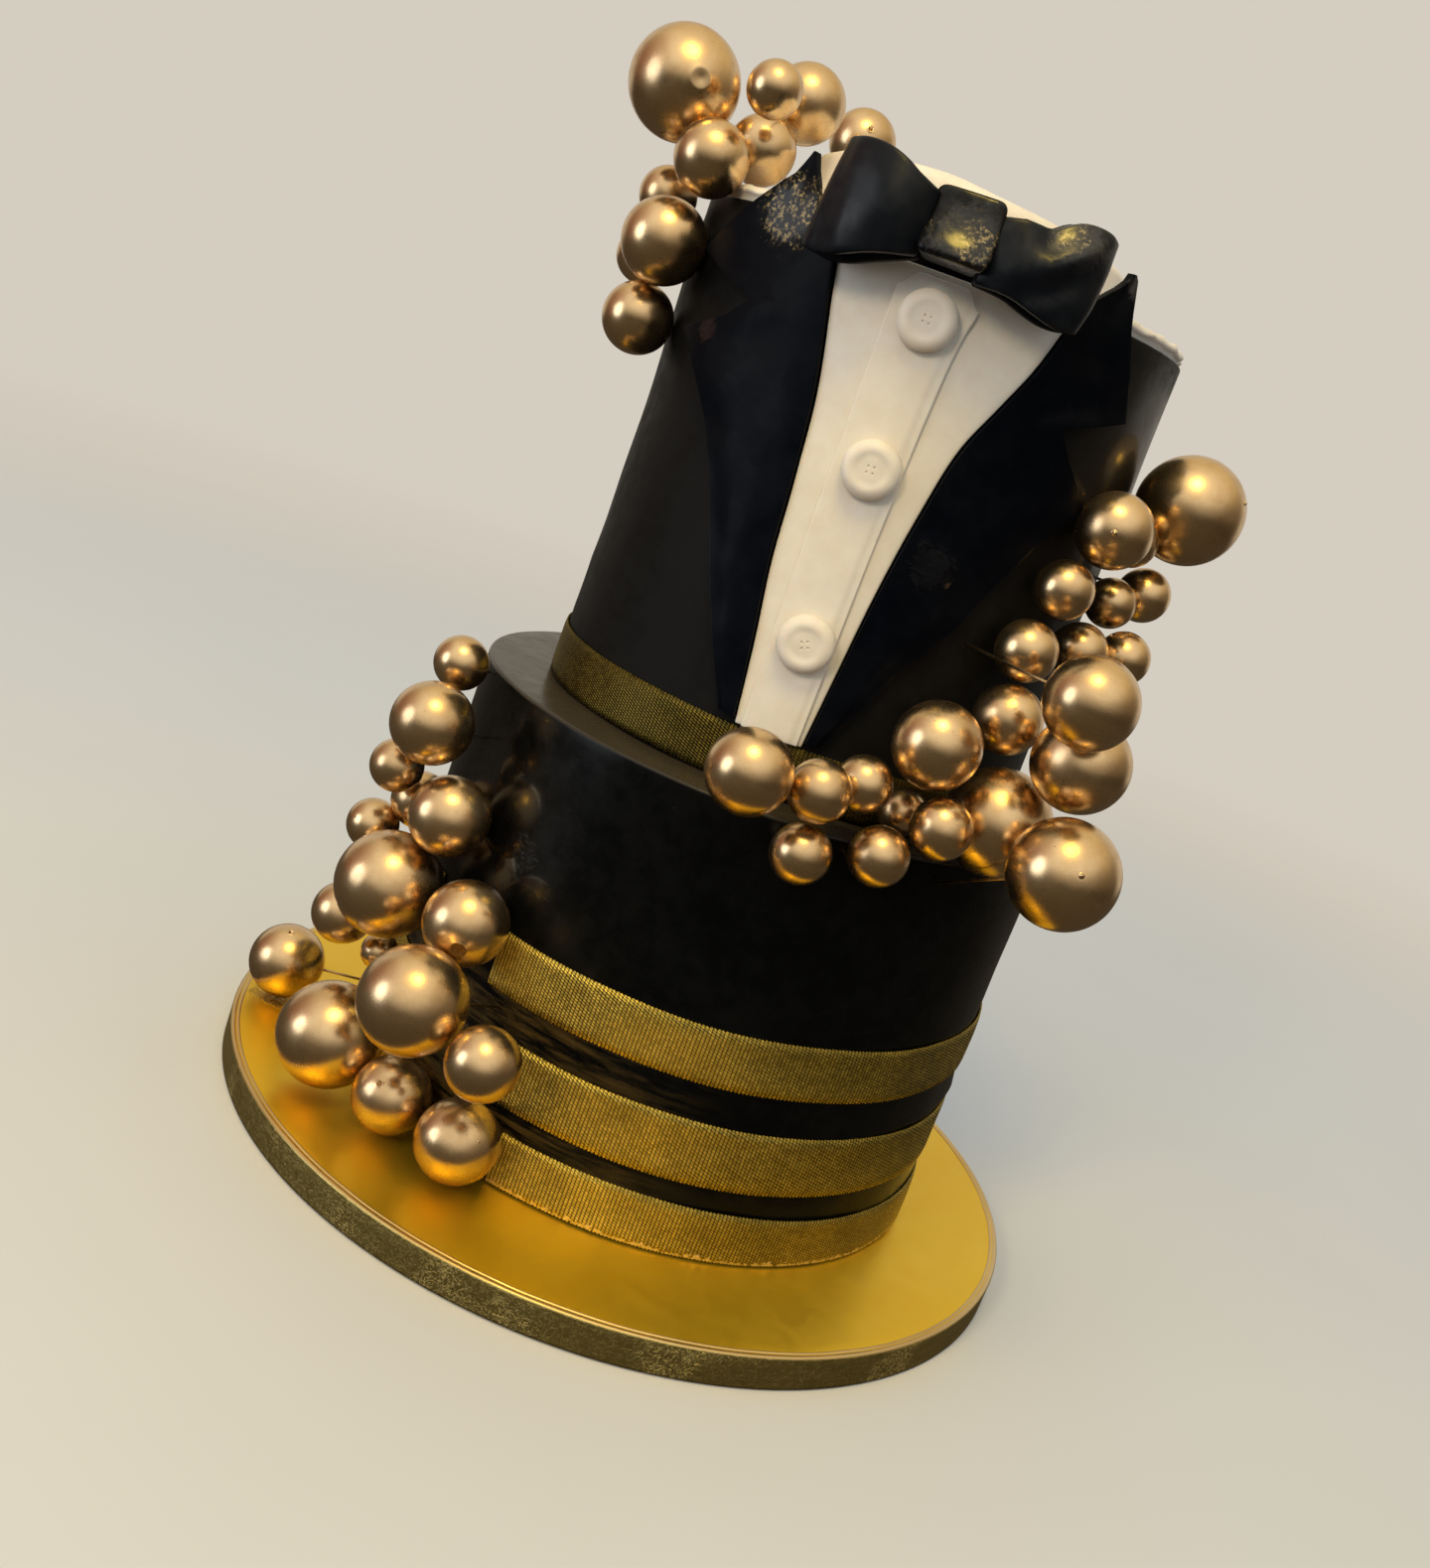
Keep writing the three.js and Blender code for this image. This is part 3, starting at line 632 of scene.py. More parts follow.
def lay_board(top_finish, rim_finish, edge_finish):
    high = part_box("board")[1]
    reach, top = high.x / MM, high.z / MM
    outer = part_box("board_band")[1].x / MM - 0.02
    bm = bmesh.new()
    profile = [(0, 0), (reach - 1, 0), *rounded_corner(reach, 0, 1, 3, -1)[::-1]]
    profile += rounded_corner(reach, top, 1.2, 4)
    profile += [(r, top) for r in (145, 130, 110, 80, 40, 0)]
    turned(bm, profile, 180, Matrix())
    set_out("board_foil_top", bm, [top_finish], ["board"])
    bm = bmesh.new()
    lip, inner = top + RIM_LIP, reach + GAP
    fold = [(inner, 0.6), (outer, 0.6), (outer, 1.2), (outer, 6), *rounded_corner(outer, lip, BAND_CORNER, 5)]
    fold += [(outer - inset, lip + rise) for inset, rise in RIM_FOLD]
    fold += [(outer - 3.3, top + 0.02), (outer - 2, top - 0.1), (inner, top - 1.6), (inner, 0.6)]
    turned(bm, fold, 240, Matrix())
    for vert in bm.verts:
        flat = Vector((vert.co.x, vert.co.y, 0))
        if flat.length < outer - 1.5 and vert.co.z > top - 0.05:
            vert.co += flat.normalized() * ripple(flat, 0.09, 0.22)
    for face in bm.faces:
        face.material_index = 1 if face.calc_center_median().z > lip - 0.45 else 0
    set_out("board_edge_band", bm, [edge_finish, rim_finish], ["board_band"])


# ---------------------------------------------------------------- tiers


def build_tier(name, tier, edge, finish, steps, bulges=(), rim=0.0):
    """A tall round tier with a soft top edge or a raised rim; its skin swells a little here and there.

    Bulges are (azimuth, height, half width in degrees, half height, depth)."""
    bm = bmesh.new()
    height = tier.top - tier.bottom
    rows = [(tier.radius(tier.bottom + height * k / 36), height * k / 36) for k in range(1, 36)]
    rows = [row for row in rows if row[1] < height - edge - 1]
    profile = [(0, 0), (tier.foot_radius - 0.8, 0), (tier.foot_radius, 0.8), *rows]
    if rim:
        lip, crest = tier.top_radius, height + rim
        profile += [(lip, crest - 0.7), (lip - 0.2, crest - 0.2), (lip - 0.6, crest)]
        profile += [(lip - 1.0, crest - 0.2), (lip - 1.2, crest - 0.7), (lip - 1.3, height), (0, height)]
    else:
        flat = tier.top_radius - edge
        profile += rounded_corner(tier.top_radius, height, edge, 6)
        profile += [(flat - k * flat / 10, height) for k in range(1, 11)]
    made = turned(bm, profile, steps, Matrix.Translation((tier.x, tier.y, tier.bottom)))
    for vert in made:
        out = tier.outward(vert.co)
        if out.length < 1:
            continue
        azimuth = tier.azimuth(vert.co)
        side = ease((out.length - tier.top_radius + 12) / 10)
        steady = 0.25 if rim and vert.co.z > tier.top - 1 else 1
        push = -abs(ripple(vert.co, 0.035, 0.55, 3)) * side * steady
        for at, z, wide, tall, depth in bulges:
            away = math.hypot((azimuth - at) / wide, (vert.co.z - z) / tall)
            push += depth * ease(1 - away) * side
        vert.co += out.normalized() * push
        vert.co.z += ripple(vert.co, 0.03, 0.5, 5) * (1 - side) * ease((vert.co.z - tier.top + 8) / 8)
    set_out(name, bm, [finish], [tier.node])


SLAB_OVERHANG = (-74, 40, 3.6)   # where the white slab hangs over most: azimuth, half width, reach


def round_thing(node):
    """Bottom, thickness and radius of a round solid that lies level on the upper tier, in millimetres."""
    low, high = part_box(node)
    return low.z / MM, (high.z - low.z) / MM, (high.x - low.x) / 2 / MM


def lay_slab(finish):
    """The white slab under the dome, with a ragged upper edge."""
    bottom, thick, reach = round_thing("top_disc")
    bm = bmesh.new()
    profile = [(0, 0), (reach - 1.6, 0), (reach - 1.4, 0.3), (reach - 1.3, 2.2), (reach - 0.5, 2.9)]
    profile += rounded_corner(reach, thick, 1.9, 5)
    profile += [(reach * k / 12, thick) for k in range(11, -1, -1)]
    middle, half_width, overhang = SLAB_OVERHANG
    for vert in turned(bm, profile, 120, Matrix.Translation((UPPER.x, UPPER.y, bottom))):
        out, azimuth = UPPER.outward(vert.co), UPPER.azimuth(vert.co)
        if out.length > reach - 4:
            vert.co += out.normalized() * overhang * ease(1 - abs(azimuth - middle) / half_width)
        upper = vert.co.z > bottom + 2.6
        if out.length > reach - 4 and upper:
            vert.co += out.normalized() * (ripple(vert.co, 0.16, 1.3) - 0.35)
            vert.co.z += ripple(vert.co, 0.2, 0.9, 8)
        if vert.co.z > bottom + 2.6:
            vert.co.z += ripple(vert.co, 0.06, 0.5, 4) - 0.3
    set_out("white_top", bm, [finish], ["top_disc"])


def lay_mound(finish):
    """The low white dome behind the bow, which sags to the right."""
    bottom, thick, reach = round_thing("top_mound")
    bm = bmesh.new()
    edge, shoulder = 5, thick - 0.6
    profile = [(0, 0), (reach, 0), (reach, 3), (reach, 10)] + rounded_corner(reach, shoulder, edge, 8)
    profile += [(reach - edge - k * (reach - edge) / 9, shoulder + 0.6 * ease(k / 9)) for k in range(1, 10)]
    for vert in turned(bm, profile, 96, Matrix.Translation((UPPER.x, UPPER.y, bottom))):
        if vert.co.z > bottom + 2:
            share = (vert.co.z - bottom) / thick
            vert.co.z -= share * 5.0 * ease((vert.co.x - UPPER.x + 25) / 80)
            vert.co += Vector((ripple(vert.co, 0.04, 0.9, 1), ripple(vert.co, 0.04, 0.9, 2),
                               (ripple(vert.co, 0.045, 0.8, 3) - 0.3) * share))
    set_out("white_mound", bm, [finish], ["top_mound"])


# ---------------------------------------------------------------- ribbons

RIB = 1.3
RIBBON_THICKNESS = 0.8
CORD_HEIGHT = 0.22
LOOP_DEPTH = 0.35
LOWER_RIBBONS = [
    # node, bottom, width, first and last azimuth, rise to the right
    ("lower_ribbon_1", 73.3, 19.4, -33, 306, 5.5),
    ("lower_ribbon_2", 38.6, 22, -27, 312, 3),
    ("lower_ribbon_3", 12.6, 18.4, -20, 316, 0),
]


def wind_ribbon(node, tier, bottom, width, start, end, lift, finish, buckle=0.0):
    """A ribbon round a tier, with a raised cord for each rib and looped edges."""
    around = 2 * math.pi * tier.radius(bottom) * (end - start) / 360
    ribs = round(around / RIB)

    def place(u, v, side):
        azimuth = start + (end - start) * u
        rise = lift * ease(azimuth / 75) * (1 - ease((azimuth - 210) / 90))
        on_cord = round(u * ribs * 2) % 2
        edge = abs(2 * v - 1)
        loop = 0.0
        if edge > 0.99 and not on_cord:
            loop = LOOP_DEPTH * (-1 if v > 0.5 else 1)
        z = bottom + width * v + loop + rise + ripple((azimuth * 0.6, 0, bottom), 0.09, 0.35, 1)
        offset = GAP
        if side > 0.5:
            offset += RIBBON_THICKNESS - CORD_HEIGHT * (1 - on_cord) - 0.25 * ease((edge - 0.8) * 5)
        swell = buckle * noise.noise(Vector((azimuth * 0.05, z * 0.06, bottom)))
        return tier.skin(azimuth, z, offset + max(swell, -0.2))

    bm = bent_slab(ribs * 2, 8, place, lambda u, v: (u * ribs, v * 20))
    set_out(node + "_woven", bm, [finish], [node])


# ---------------------------------------------------------------- shirt front

SHIRT_BOTTOM, SHIRT_TOP = 181.8, 327
SHIRT_THICKNESS, PLACKET_THICKNESS = 1.6, 1.4
SHIRT_LEFT = [[182, 8], [207, 10], [232, 12.5], [259, 14], [285, 16], [311, 20], [327, 22.5]]
SHIRT_RIGHT = [[182, 6.5], [207, 8], [232, 9.5], [259, 12], [281, 15], [298, 20], [311, 24], [327, 27.5]]
PLACKET_LEFT = [[182, 6.5], [250, 7.5], [327, 8]]
PLACKET_RIGHT = [[182, 5.5], [250, 6], [300, 7], [327, 9]]


def shirt_left(z):
    return FRONT - curve_through(SHIRT_LEFT, z)


def shirt_right(z):
    return FRONT + curve_through(SHIRT_RIGHT, z)


def hang_shirt(finish):
    def cloth(u, v, side):
        z = SHIRT_BOTTOM + (SHIRT_TOP - SHIRT_BOTTOM) * v
        azimuth = shirt_left(z) + (shirt_right(z) - shirt_left(z)) * u
        offset = GAP + side * SHIRT_THICKNESS
        if side:
            offset += ripple((azimuth * 1.4, z, 0), 0.05, 0.35, 6) - 0.1
        return UPPER.skin(azimuth, z, offset)

    bm = bent_slab(28, 60, cloth)
    round_edges(bm, 0.5, 2)
    set_out("shirt_front", bm, [finish], ["shirt"])

    def strip(u, v, side):
        z = SHIRT_BOTTOM + (SHIRT_TOP - 2 - SHIRT_BOTTOM) * v
        left, right = FRONT - curve_through(PLACKET_LEFT, z), FRONT + curve_through(PLACKET_RIGHT, z)
        azimuth = left + (right - left) * u
        z -= 5 * ease((abs(2 * u - 1) - 0.55) / 0.45) * ease((v - 0.9) / 0.1)
        offset = 2 * GAP + SHIRT_THICKNESS
        if side:
            pleat = 0.45 * ease((u - 0.86) / 0.03) if u > 0.8 else 0
            offset += PLACKET_THICKNESS - pleat + ripple((azimuth * 1.4, z, 9), 0.06, 0.25, 2)
        return UPPER.skin(azimuth, z, offset)

    bm = bent_slab(24, 60, strip)
    round_edges(bm, 0.55, 3)
    set_out("shirt_placket", bm, [finish], ["placket"])


# A button's dished face, as (radius, height), and its four holes.
BUTTON_DISH = ((5.3, 4.93), (4.9, 4.84), (4.5, 4.76), (4.0, 4.7))
HOLE_PLACE, HOLE_REACH, HOLE_DEPTH = 1.3, 0.45, 0.8


def sew_button(node, finish):
    low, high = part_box(node)
    z = (low.z + high.z) / 2 / MM
    reach = (high.z - low.z) / 2 / MM
    a = math.radians(FRONT)
    out = Vector((math.sin(a), -math.cos(a), 0))
    across = Vector((math.cos(a), math.sin(a), 0))
    base = UPPER.skin(FRONT, z, 2 * GAP + SHIRT_THICKNESS + PLACKET_THICKNESS + 0.2)
    turn = Matrix((across, Vector((0, 0, 1)), out)).transposed().to_4x4()
    profile = [(0, 0), (reach - 1.2, 0), *rounded_corner(reach, 0, 1.2, 3, -1)[::-1]]
    profile += rounded_corner(reach, 5.0, 3.2, 8)
    profile += BUTTON_DISH
    profile += [(0.2 * k, 4.68) for k in range(19, -1, -1)]
    bm = bmesh.new()
    made = turned(bm, profile, 72, Matrix())
    lean = chance.uniform(20, 70)
    for vert in made:
        if vert.co.z < 4:
            continue
        for k in range(4):
            b = math.radians(lean + 90 * k)
            away = math.hypot(vert.co.x - HOLE_PLACE * math.cos(b), vert.co.y - HOLE_PLACE * math.sin(b))
            vert.co.z -= HOLE_DEPTH * ease(1 - away / HOLE_REACH)
        vert.co.z += ripple(vert.co, 0.2, 0.2, z)
    bmesh.ops.transform(bm, matrix=Matrix.Translation(base) @ turn, verts=made)
    set_out(node + "_domed", bm, [finish], [node])


# ---------------------------------------------------------------- lapels and collar

# Outer and inner edges as [height, azimuth away from the middle].
LEFT_OUTER = [[184, 14], [198, 18.5], [212, 23], [232, 29], [252, 35], [265, 41], [276, 47], [284, 53],
              [288.5, 57], [292, 51], [296, 44], [302.5, 38.5], [307, 49], [313.5, 60], [321, 54],
              [326, 50.2], [332, 45.8], [341, 39.8], [348.5, 37.8]]
LEFT_INNER = [[184, 10], [321, 22.5], [326, 24], [331, 29], [336, 32.2], [341, 34.2], [344, 35.6],
              [348.5, 37.2]]
RIGHT_OUTER = [[184, 8], [212, 17], [232, 26], [250, 32], [268, 39.5], [277.5, 45.5], [284, 40.5], [290, 36],
               [298, 31.5], [302, 39], [306.5, 47.5], [319, 43.3], [327, 40], [331, 38.4], [336, 37.6],
               [342, 37], [345, 36.8], [346.5, 36.2]]
RIGHT_INNER = [[184, 5], [321, 25], [330, 26.6], [335, 28.6], [339, 31.4], [341, 33], [344, 34.8],
               [346.5, 35.5]]
COLLAR_BREAK = (321, 326)   # heights between which the lapel's inner edge leaves the shirt's edge


def cut_lapel(name, side, outer, inner, nodes, finish):
    """One lapel with its notch and the collar point above it, as one rolled sheet of icing."""
    heights = sorted({row[0] for row in outer} | {row[0] for row in inner if row[0] > 300})
    rows = []
    for below, above in zip(heights, heights[1:]):
        count = max(1, round((above - below) / 3))
        rows += [below + (above - below) * k / count for k in range(count)]
    rows.append(heights[-1])
    low, high = COLLAR_BREAK
    edge_at = shirt_left if side < 0 else shirt_right

    def place(u, v, face):
        z = rows[min(round(v * (len(rows) - 1)), len(rows) - 1)]
        near = edge_at(z) + side * 0.3 if z <= low else side * line_through(inner, z)
        if low < z < high:
            near = edge_at(low) + (near - edge_at(low)) * ease((z - low) / (high - low))
        far = side * line_through(outer, z)
        u = 0.5 - 0.5 * math.cos(math.pi * u)
        azimuth = near + (far - near) * u
        lift = 2.2 * ease((u - 0.45) / 0.55) * ease((z - 262) / 18) * (1 - ease((z - 330) / 20))
        thick = 3.0 - 0.9 * ease((u - 0.6) / 0.4) if z < 318 else 2.6
        offset = 0.75 + lift + (thick if face else 0)
        if z > 324:
            offset += -0.02 * (z - 324) ** 1.35
        if face:
            offset += ripple((azimuth * 1.5, z, 4), 0.035, 1.1, side) * 0.6
            offset += ripple((azimuth * 1.5, z, 4), 0.11, 0.45, side)
        return UPPER.point(azimuth, UPPER.radius(min(z, UPPER.top)) + offset, z)

    bm = bent_slab(14, len(rows) - 1, place, lambda u, v: (u, v))
    round_edges(bm, 0.9, 3, 55)
    set_out(name, bm, [finish], nodes)


# ---------------------------------------------------------------- bow tie

BOW_REACH = 96.4
BOW_THICKNESS = 2.4
# Azimuths are counted outwards from the middle. Outer is the loop's end as [share of its height, azimuth],
# top and bottom are [azimuth, height]. Folds are (from, to, width, height) on the front, whose top edge
# leans back by `lean`, and the barrel is (azimuth, half width, height) of its roundness.
LEFT_LOOP = {
    "inner": 7,
    "outer": [[0, 26.9], [1, 24.6]],
    "top": [[7, 345.4], [8.9, 345.8], [10.5, 347.8], [13, 350.2], [16.5, 352.2], [20.5, 352.9],
            [24.6, 352.4]],
    "bottom": [[7, 327], [13.3, 323.7], [18.9, 320.4], [23.5, 319.4], [26.9, 320.4]],
    "folds": [((21, 350), (19, 324), 3.0, 0.5)],
    "barrel": (13.5, 9.5, 3.4),
    "lean": 0.8,
}
RIGHT_LOOP = {
    "inner": 3,
    "outer": [[0, 22.4], [0.25, 23.4], [1, 24.2]],
    "top": [[3, 344.6], [7.4, 346], [10.4, 346], [12.3, 346.5], [13.8, 348.3], [15.7, 350.3], [18, 351.3],
            [21, 351.2], [24.2, 349.6]],
    "bottom": [[3, 325.4], [9.2, 325], [12.7, 323.4], [17.1, 321.9], [21, 322], [23.4, 323.4]],
    "folds": [((21.5, 349), (13, 336), 3.4, 1.9), ((13, 336), (7, 329), 3.4, 1.0),
              ((17, 334), (10, 326), 3.0, -1.1)],
    "barrel": (15, 12, 0.6),
    "lean": 3.0,
}


def fold_loop(name, node, side, finish, inner, outer, top, bottom, folds, barrel, lean):
    """One hollow loop of the bow: a strip that runs out along the back, turns and comes back in front."""
    barrel_at, barrel_half, barrel_height = barrel

    def place(u, v, face):
        phi = math.pi * (u - 0.5)
        run = math.cos(phi) ** 0.6 if abs(phi) < 1.57 else 0
        reach = math.copysign(abs(math.sin(phi)) ** 0.55, phi)
        end = line_through(outer, v)
        azimuth = inner + (end - inner) * run
        z = curve_through(bottom, azimuth) * (1 - v) + curve_through(top, azimuth) * v
        depth = (8.0 if reach > 0 else 6.4) * (0.5 + 0.5 * ease(run * 3.6))
        offset = BOW_REACH + depth * reach
        if reach > 0:
            offset += 1.5 * (1 - (2 * v - 1) ** 2) * reach
            roundness = math.cos(min(abs(azimuth - barrel_at) / barrel_half, 1) * math.pi / 2)
            offset += barrel_height * roundness * reach
            for (a0, z0), (a1, z1), width, height in folds:
                span = Vector(((a1 - a0) * 1.8, z1 - z0))
                here = Vector(((azimuth - a0) * 1.8, z - z0))
                along = min(max(here.dot(span) / span.length_squared, 0), 1)
                away = (here - span * along).length / width
                offset += height * math.exp(-away * away) * reach
            near_top = ease((z - curve_through(top, azimuth) + 10) / 10)
            offset -= lean * near_top * ease((azimuth - 6) / 6) * reach
            offset += ripple((azimuth * 1.7, z, 1), 0.06, 0.7, side * 2) * reach
        if not face:
            offset -= BOW_THICKNESS * reach
            azimuth -= math.degrees(BOW_THICKNESS / BOW_REACH) * run ** 4
        return UPPER.point(side * azimuth, offset, z)

    bm = bent_slab(48, 14, place)
    round_edges(bm, 0.8, 3, 60)
    set_out(name, bm, [finish], [node])


KNOT_BOTTOM, KNOT_TOP = 328, 348


def wrap_knot(finish):
    """The bow's middle: a soft block bent round the front, its face rolled back towards the top."""
    middle, half_height = (KNOT_BOTTOM + KNOT_TOP) / 2, (KNOT_TOP - KNOT_BOTTOM) / 2
    bm = bmesh.new()
    bmesh.ops.create_cube(bm, size=2)
    bmesh.ops.bevel(bm, geom=bm.edges[:], offset=0.24, offset_type="OFFSET", segments=3, profile=0.5,
                    affect="EDGES", clamp_overlap=True, material=-1)
    long_edges = [e for e in bm.edges if e.calc_length() > 1]
    bmesh.ops.subdivide_edges(bm, edges=long_edges, cuts=9, use_grid_fill=True)
    for vert in bm.verts:
        u, v, w = vert.co
        azimuth = -1.75 + 6.0 * u * (1 - 0.04 * v * v)
        z = middle + half_height * v * (1 + 0.02 * u)
        reach = 98 + 10 * w
        if w > 0:
            reach += w * (-0.9 * (u - 0.5) ** 2 - 5.2 * ease((z - 325) / 20))
            reach += ripple((azimuth * 2, z, 0), 0.1, 0.6, 3) + ripple((azimuth * 2, z, 0), 0.35, 0.2, 9)
        vert.co = UPPER.point(azimuth, reach, z)
    bmesh.ops.recalc_face_normals(bm, faces=bm.faces)
    set_out("bow_knot_wrapped", bm, [finish], ["bow_knot"], subdivide=1)


# ---------------------------------------------------------------- gold balls


def seen_from_front(centre, right, up):
    """Direction from a ball's centre to the place on it that shows at (right, up) radii in the front view."""
    sight = (Vector(centre) * MM - EYE).normalized()
    level = (EYE_RIGHT - sight * EYE_RIGHT.dot(sight)).normalized()
    rise = level.cross(sight)
    if rise.dot(EYE_UP) < 0:
        rise.negate()
    return (level * right + rise * up - sight * math.sqrt(max(0, 1 - right * right - up * up))).normalized()


def balls_in(node):
    """The balls of a solid as (centre, radius), largest first, and the end of its wire.

    All come from the solid's own points: each ball has one at its top or bottom, and the other points of
    the same ball agree with it on the radius."""
    points = {tuple(round(c / MM, 3) for c in v.co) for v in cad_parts[node].data.vertices}
    points = [Vector(p) for p in sorted(points)]
    found = []
    for pole in points:
        for way in (1, -1):
            votes = {}
            for p in points:
                drop = (pole.z - p.z) * way
                if drop > 1:
                    reach = (p - pole).length_squared / (2 * drop)
                    votes.setdefault(round(reach * 20), []).append(reach)
            best = max(votes.values(), key=len, default=[])
            if len(best) < 26:
                continue
            reach = sorted(best)[len(best) // 2]
            centre = pole - Vector((0, 0, way * reach))
            if all((centre - c).length > 1 for c, r in found):
                found.append((centre, reach))
    ends = [p for p in points if all((p - c).length > r + 0.4 for c, r in found)]
    end = sum(ends, Vector()) / len(ends) if ends else None
    return sorted(found, key=lambda ball: -ball[1]), end


# Wires that lead elsewhere than to the icing straight behind: azimuth, reach and height of the end.
WIRE_ENDS = {"crown_ball_02": (-70.4, 70.7, 367), "crown_ball_05": (-80, 81, 311)}


def hidden_end(node, centre, end):
    """Where a wire enters the icing straight behind its ball, or its own end where nothing lies behind."""
    if node in WIRE_ENDS:
        return UPPER.point(*WIRE_ENDS[node])
    sight = (centre * MM - EYE).normalized()
    run = Vector((sight.x, sight.y))
    for tier in (LOWER,) if node.startswith("cascade") else (UPPER, LOWER):
        off = Vector((centre.x - tier.x, centre.y - tier.y))
        b, c = off.dot(run), off.length_squared - (tier.radius(centre.z) - 3) ** 2
        inside = b * b - c * run.length_squared
        hit = centre + sight * ((-b - math.sqrt(max(inside, 0))) / run.length_squared)
        if inside <= 0:
            away = Vector((hit.x - tier.x, hit.y - tier.y))
            away *= (tier.radius(hit.z) - 3) / away.length
            hit.x, hit.y = tier.x + away.x, tier.y + away.y
        if tier.bottom < hit.z < tier.top - 2 and (hit - centre).length < 70:
            return hit
    return end


# Small faults that show from the front: node, which ball, (right, up) in radii, kind.
BALL_MARKS = {
    ("crown_ball_01", 0): (0.28, 0.09, "dent"),
    ("cascade_ball_06", 0): (-0.18, -0.60, "ring"),
    ("garland_ball_01", 0): (0.95, 0.13, "nub"),
    ("cascade_ball_07", 0): (0.08, 0.74, "hole"),
    ("cascade_ball_10", 1): (-0.30, 0.28, "hole"),
    ("garland_ball_02", 0): (0.0, -0.05, "nub"),
    ("garland_ball_12", 0): (0.30, -0.02, "nub"),
}
MARK_SHAPES = {
    # reach, depth below the round, height of the lip, in millimetres
    "dent": (3.0, 0.4, 0.1),
    "ring": (2.6, 0.3, 0.16),
    "nub": (1.0, -0.7, 0.0),
    "hole": (1.0, 1.0, 0.12),
}


# Profile steps across a mark, in shares of its reach.
MARK_STEPS = [0, 0.25, 0.45, 0.62, 0.78, 0.9, 1.0, 1.12, 1.25, 1.45, 1.8]
BALL_STEPS = 30
WIRE_RADIUS, LINK_RADIUS = 0.5, 0.9


def roll_ball(bm, centre, reach, pole, kind):
    """A ball spun about the axis of its mark, so that dents, rings and holes are truly round."""
    wide, depth, lip = MARK_SHAPES[kind]
    angles = [s * wide / reach for s in MARK_STEPS]
    angles += [angles[-1] + (math.pi - angles[-1]) * k / BALL_STEPS for k in range(1, BALL_STEPS + 1)]
    profile = []
    for angle in angles:
        share = angle * reach / wide
        sink = depth * ease(1 - share) if kind != "ring" else depth * ease((0.85 - share) / 0.4)
        rise = lip * math.exp(-((share - 1.1) / 0.22) ** 2)
        r = reach - sink + rise
        profile.append((r * math.sin(angle) if 0 < angle < math.pi - 1e-6 else 0.0, r * math.cos(angle)))
    turned(bm, profile, 60, Matrix.Translation(centre) @ upright_to(pole))


def mark_of(node, index, centre):
    """Where a ball's mark sits, and its kind: one that shows from the front, or else a hole at the back."""
    mark = BALL_MARKS.get((node, index))
    if mark:
        return seen_from_front(centre, mark[0], mark[1]), mark[2]
    back = Vector((UPPER.x, UPPER.y, centre.z)) - centre
    stray = Vector((chance.uniform(-1, 1), chance.uniform(-1, 1), chance.uniform(-1, 1)))
    return (back.normalized() + stray * 0.7).normalized(), "hole"


def string_balls(node, finish, wire_finish):
    """The balls of one solid, with the wire to the icing and the link between two that touch."""
    balls, end = balls_in(node)
    bm = bmesh.new()
    for index, (centre, reach) in enumerate(balls):
        pole, kind = mark_of(node, index, centre)
        roll_ball(bm, centre, reach - 0.02, pole, kind)
    wires = set()
    if end:
        start = min(balls, key=lambda ball: (ball[0] - end).length - ball[1])[0]
        wires |= tube(bm, start, hidden_end(node, start, end), WIRE_RADIUS)
    if len(balls) > 1:
        wires |= tube(bm, balls[0][0], balls[1][0], LINK_RADIUS)
    for face in wires:
        face.material_index = 1
    set_out(node + "_pearl", bm, [finish, wire_finish], [node])


# ---------------------------------------------------------------- surroundings


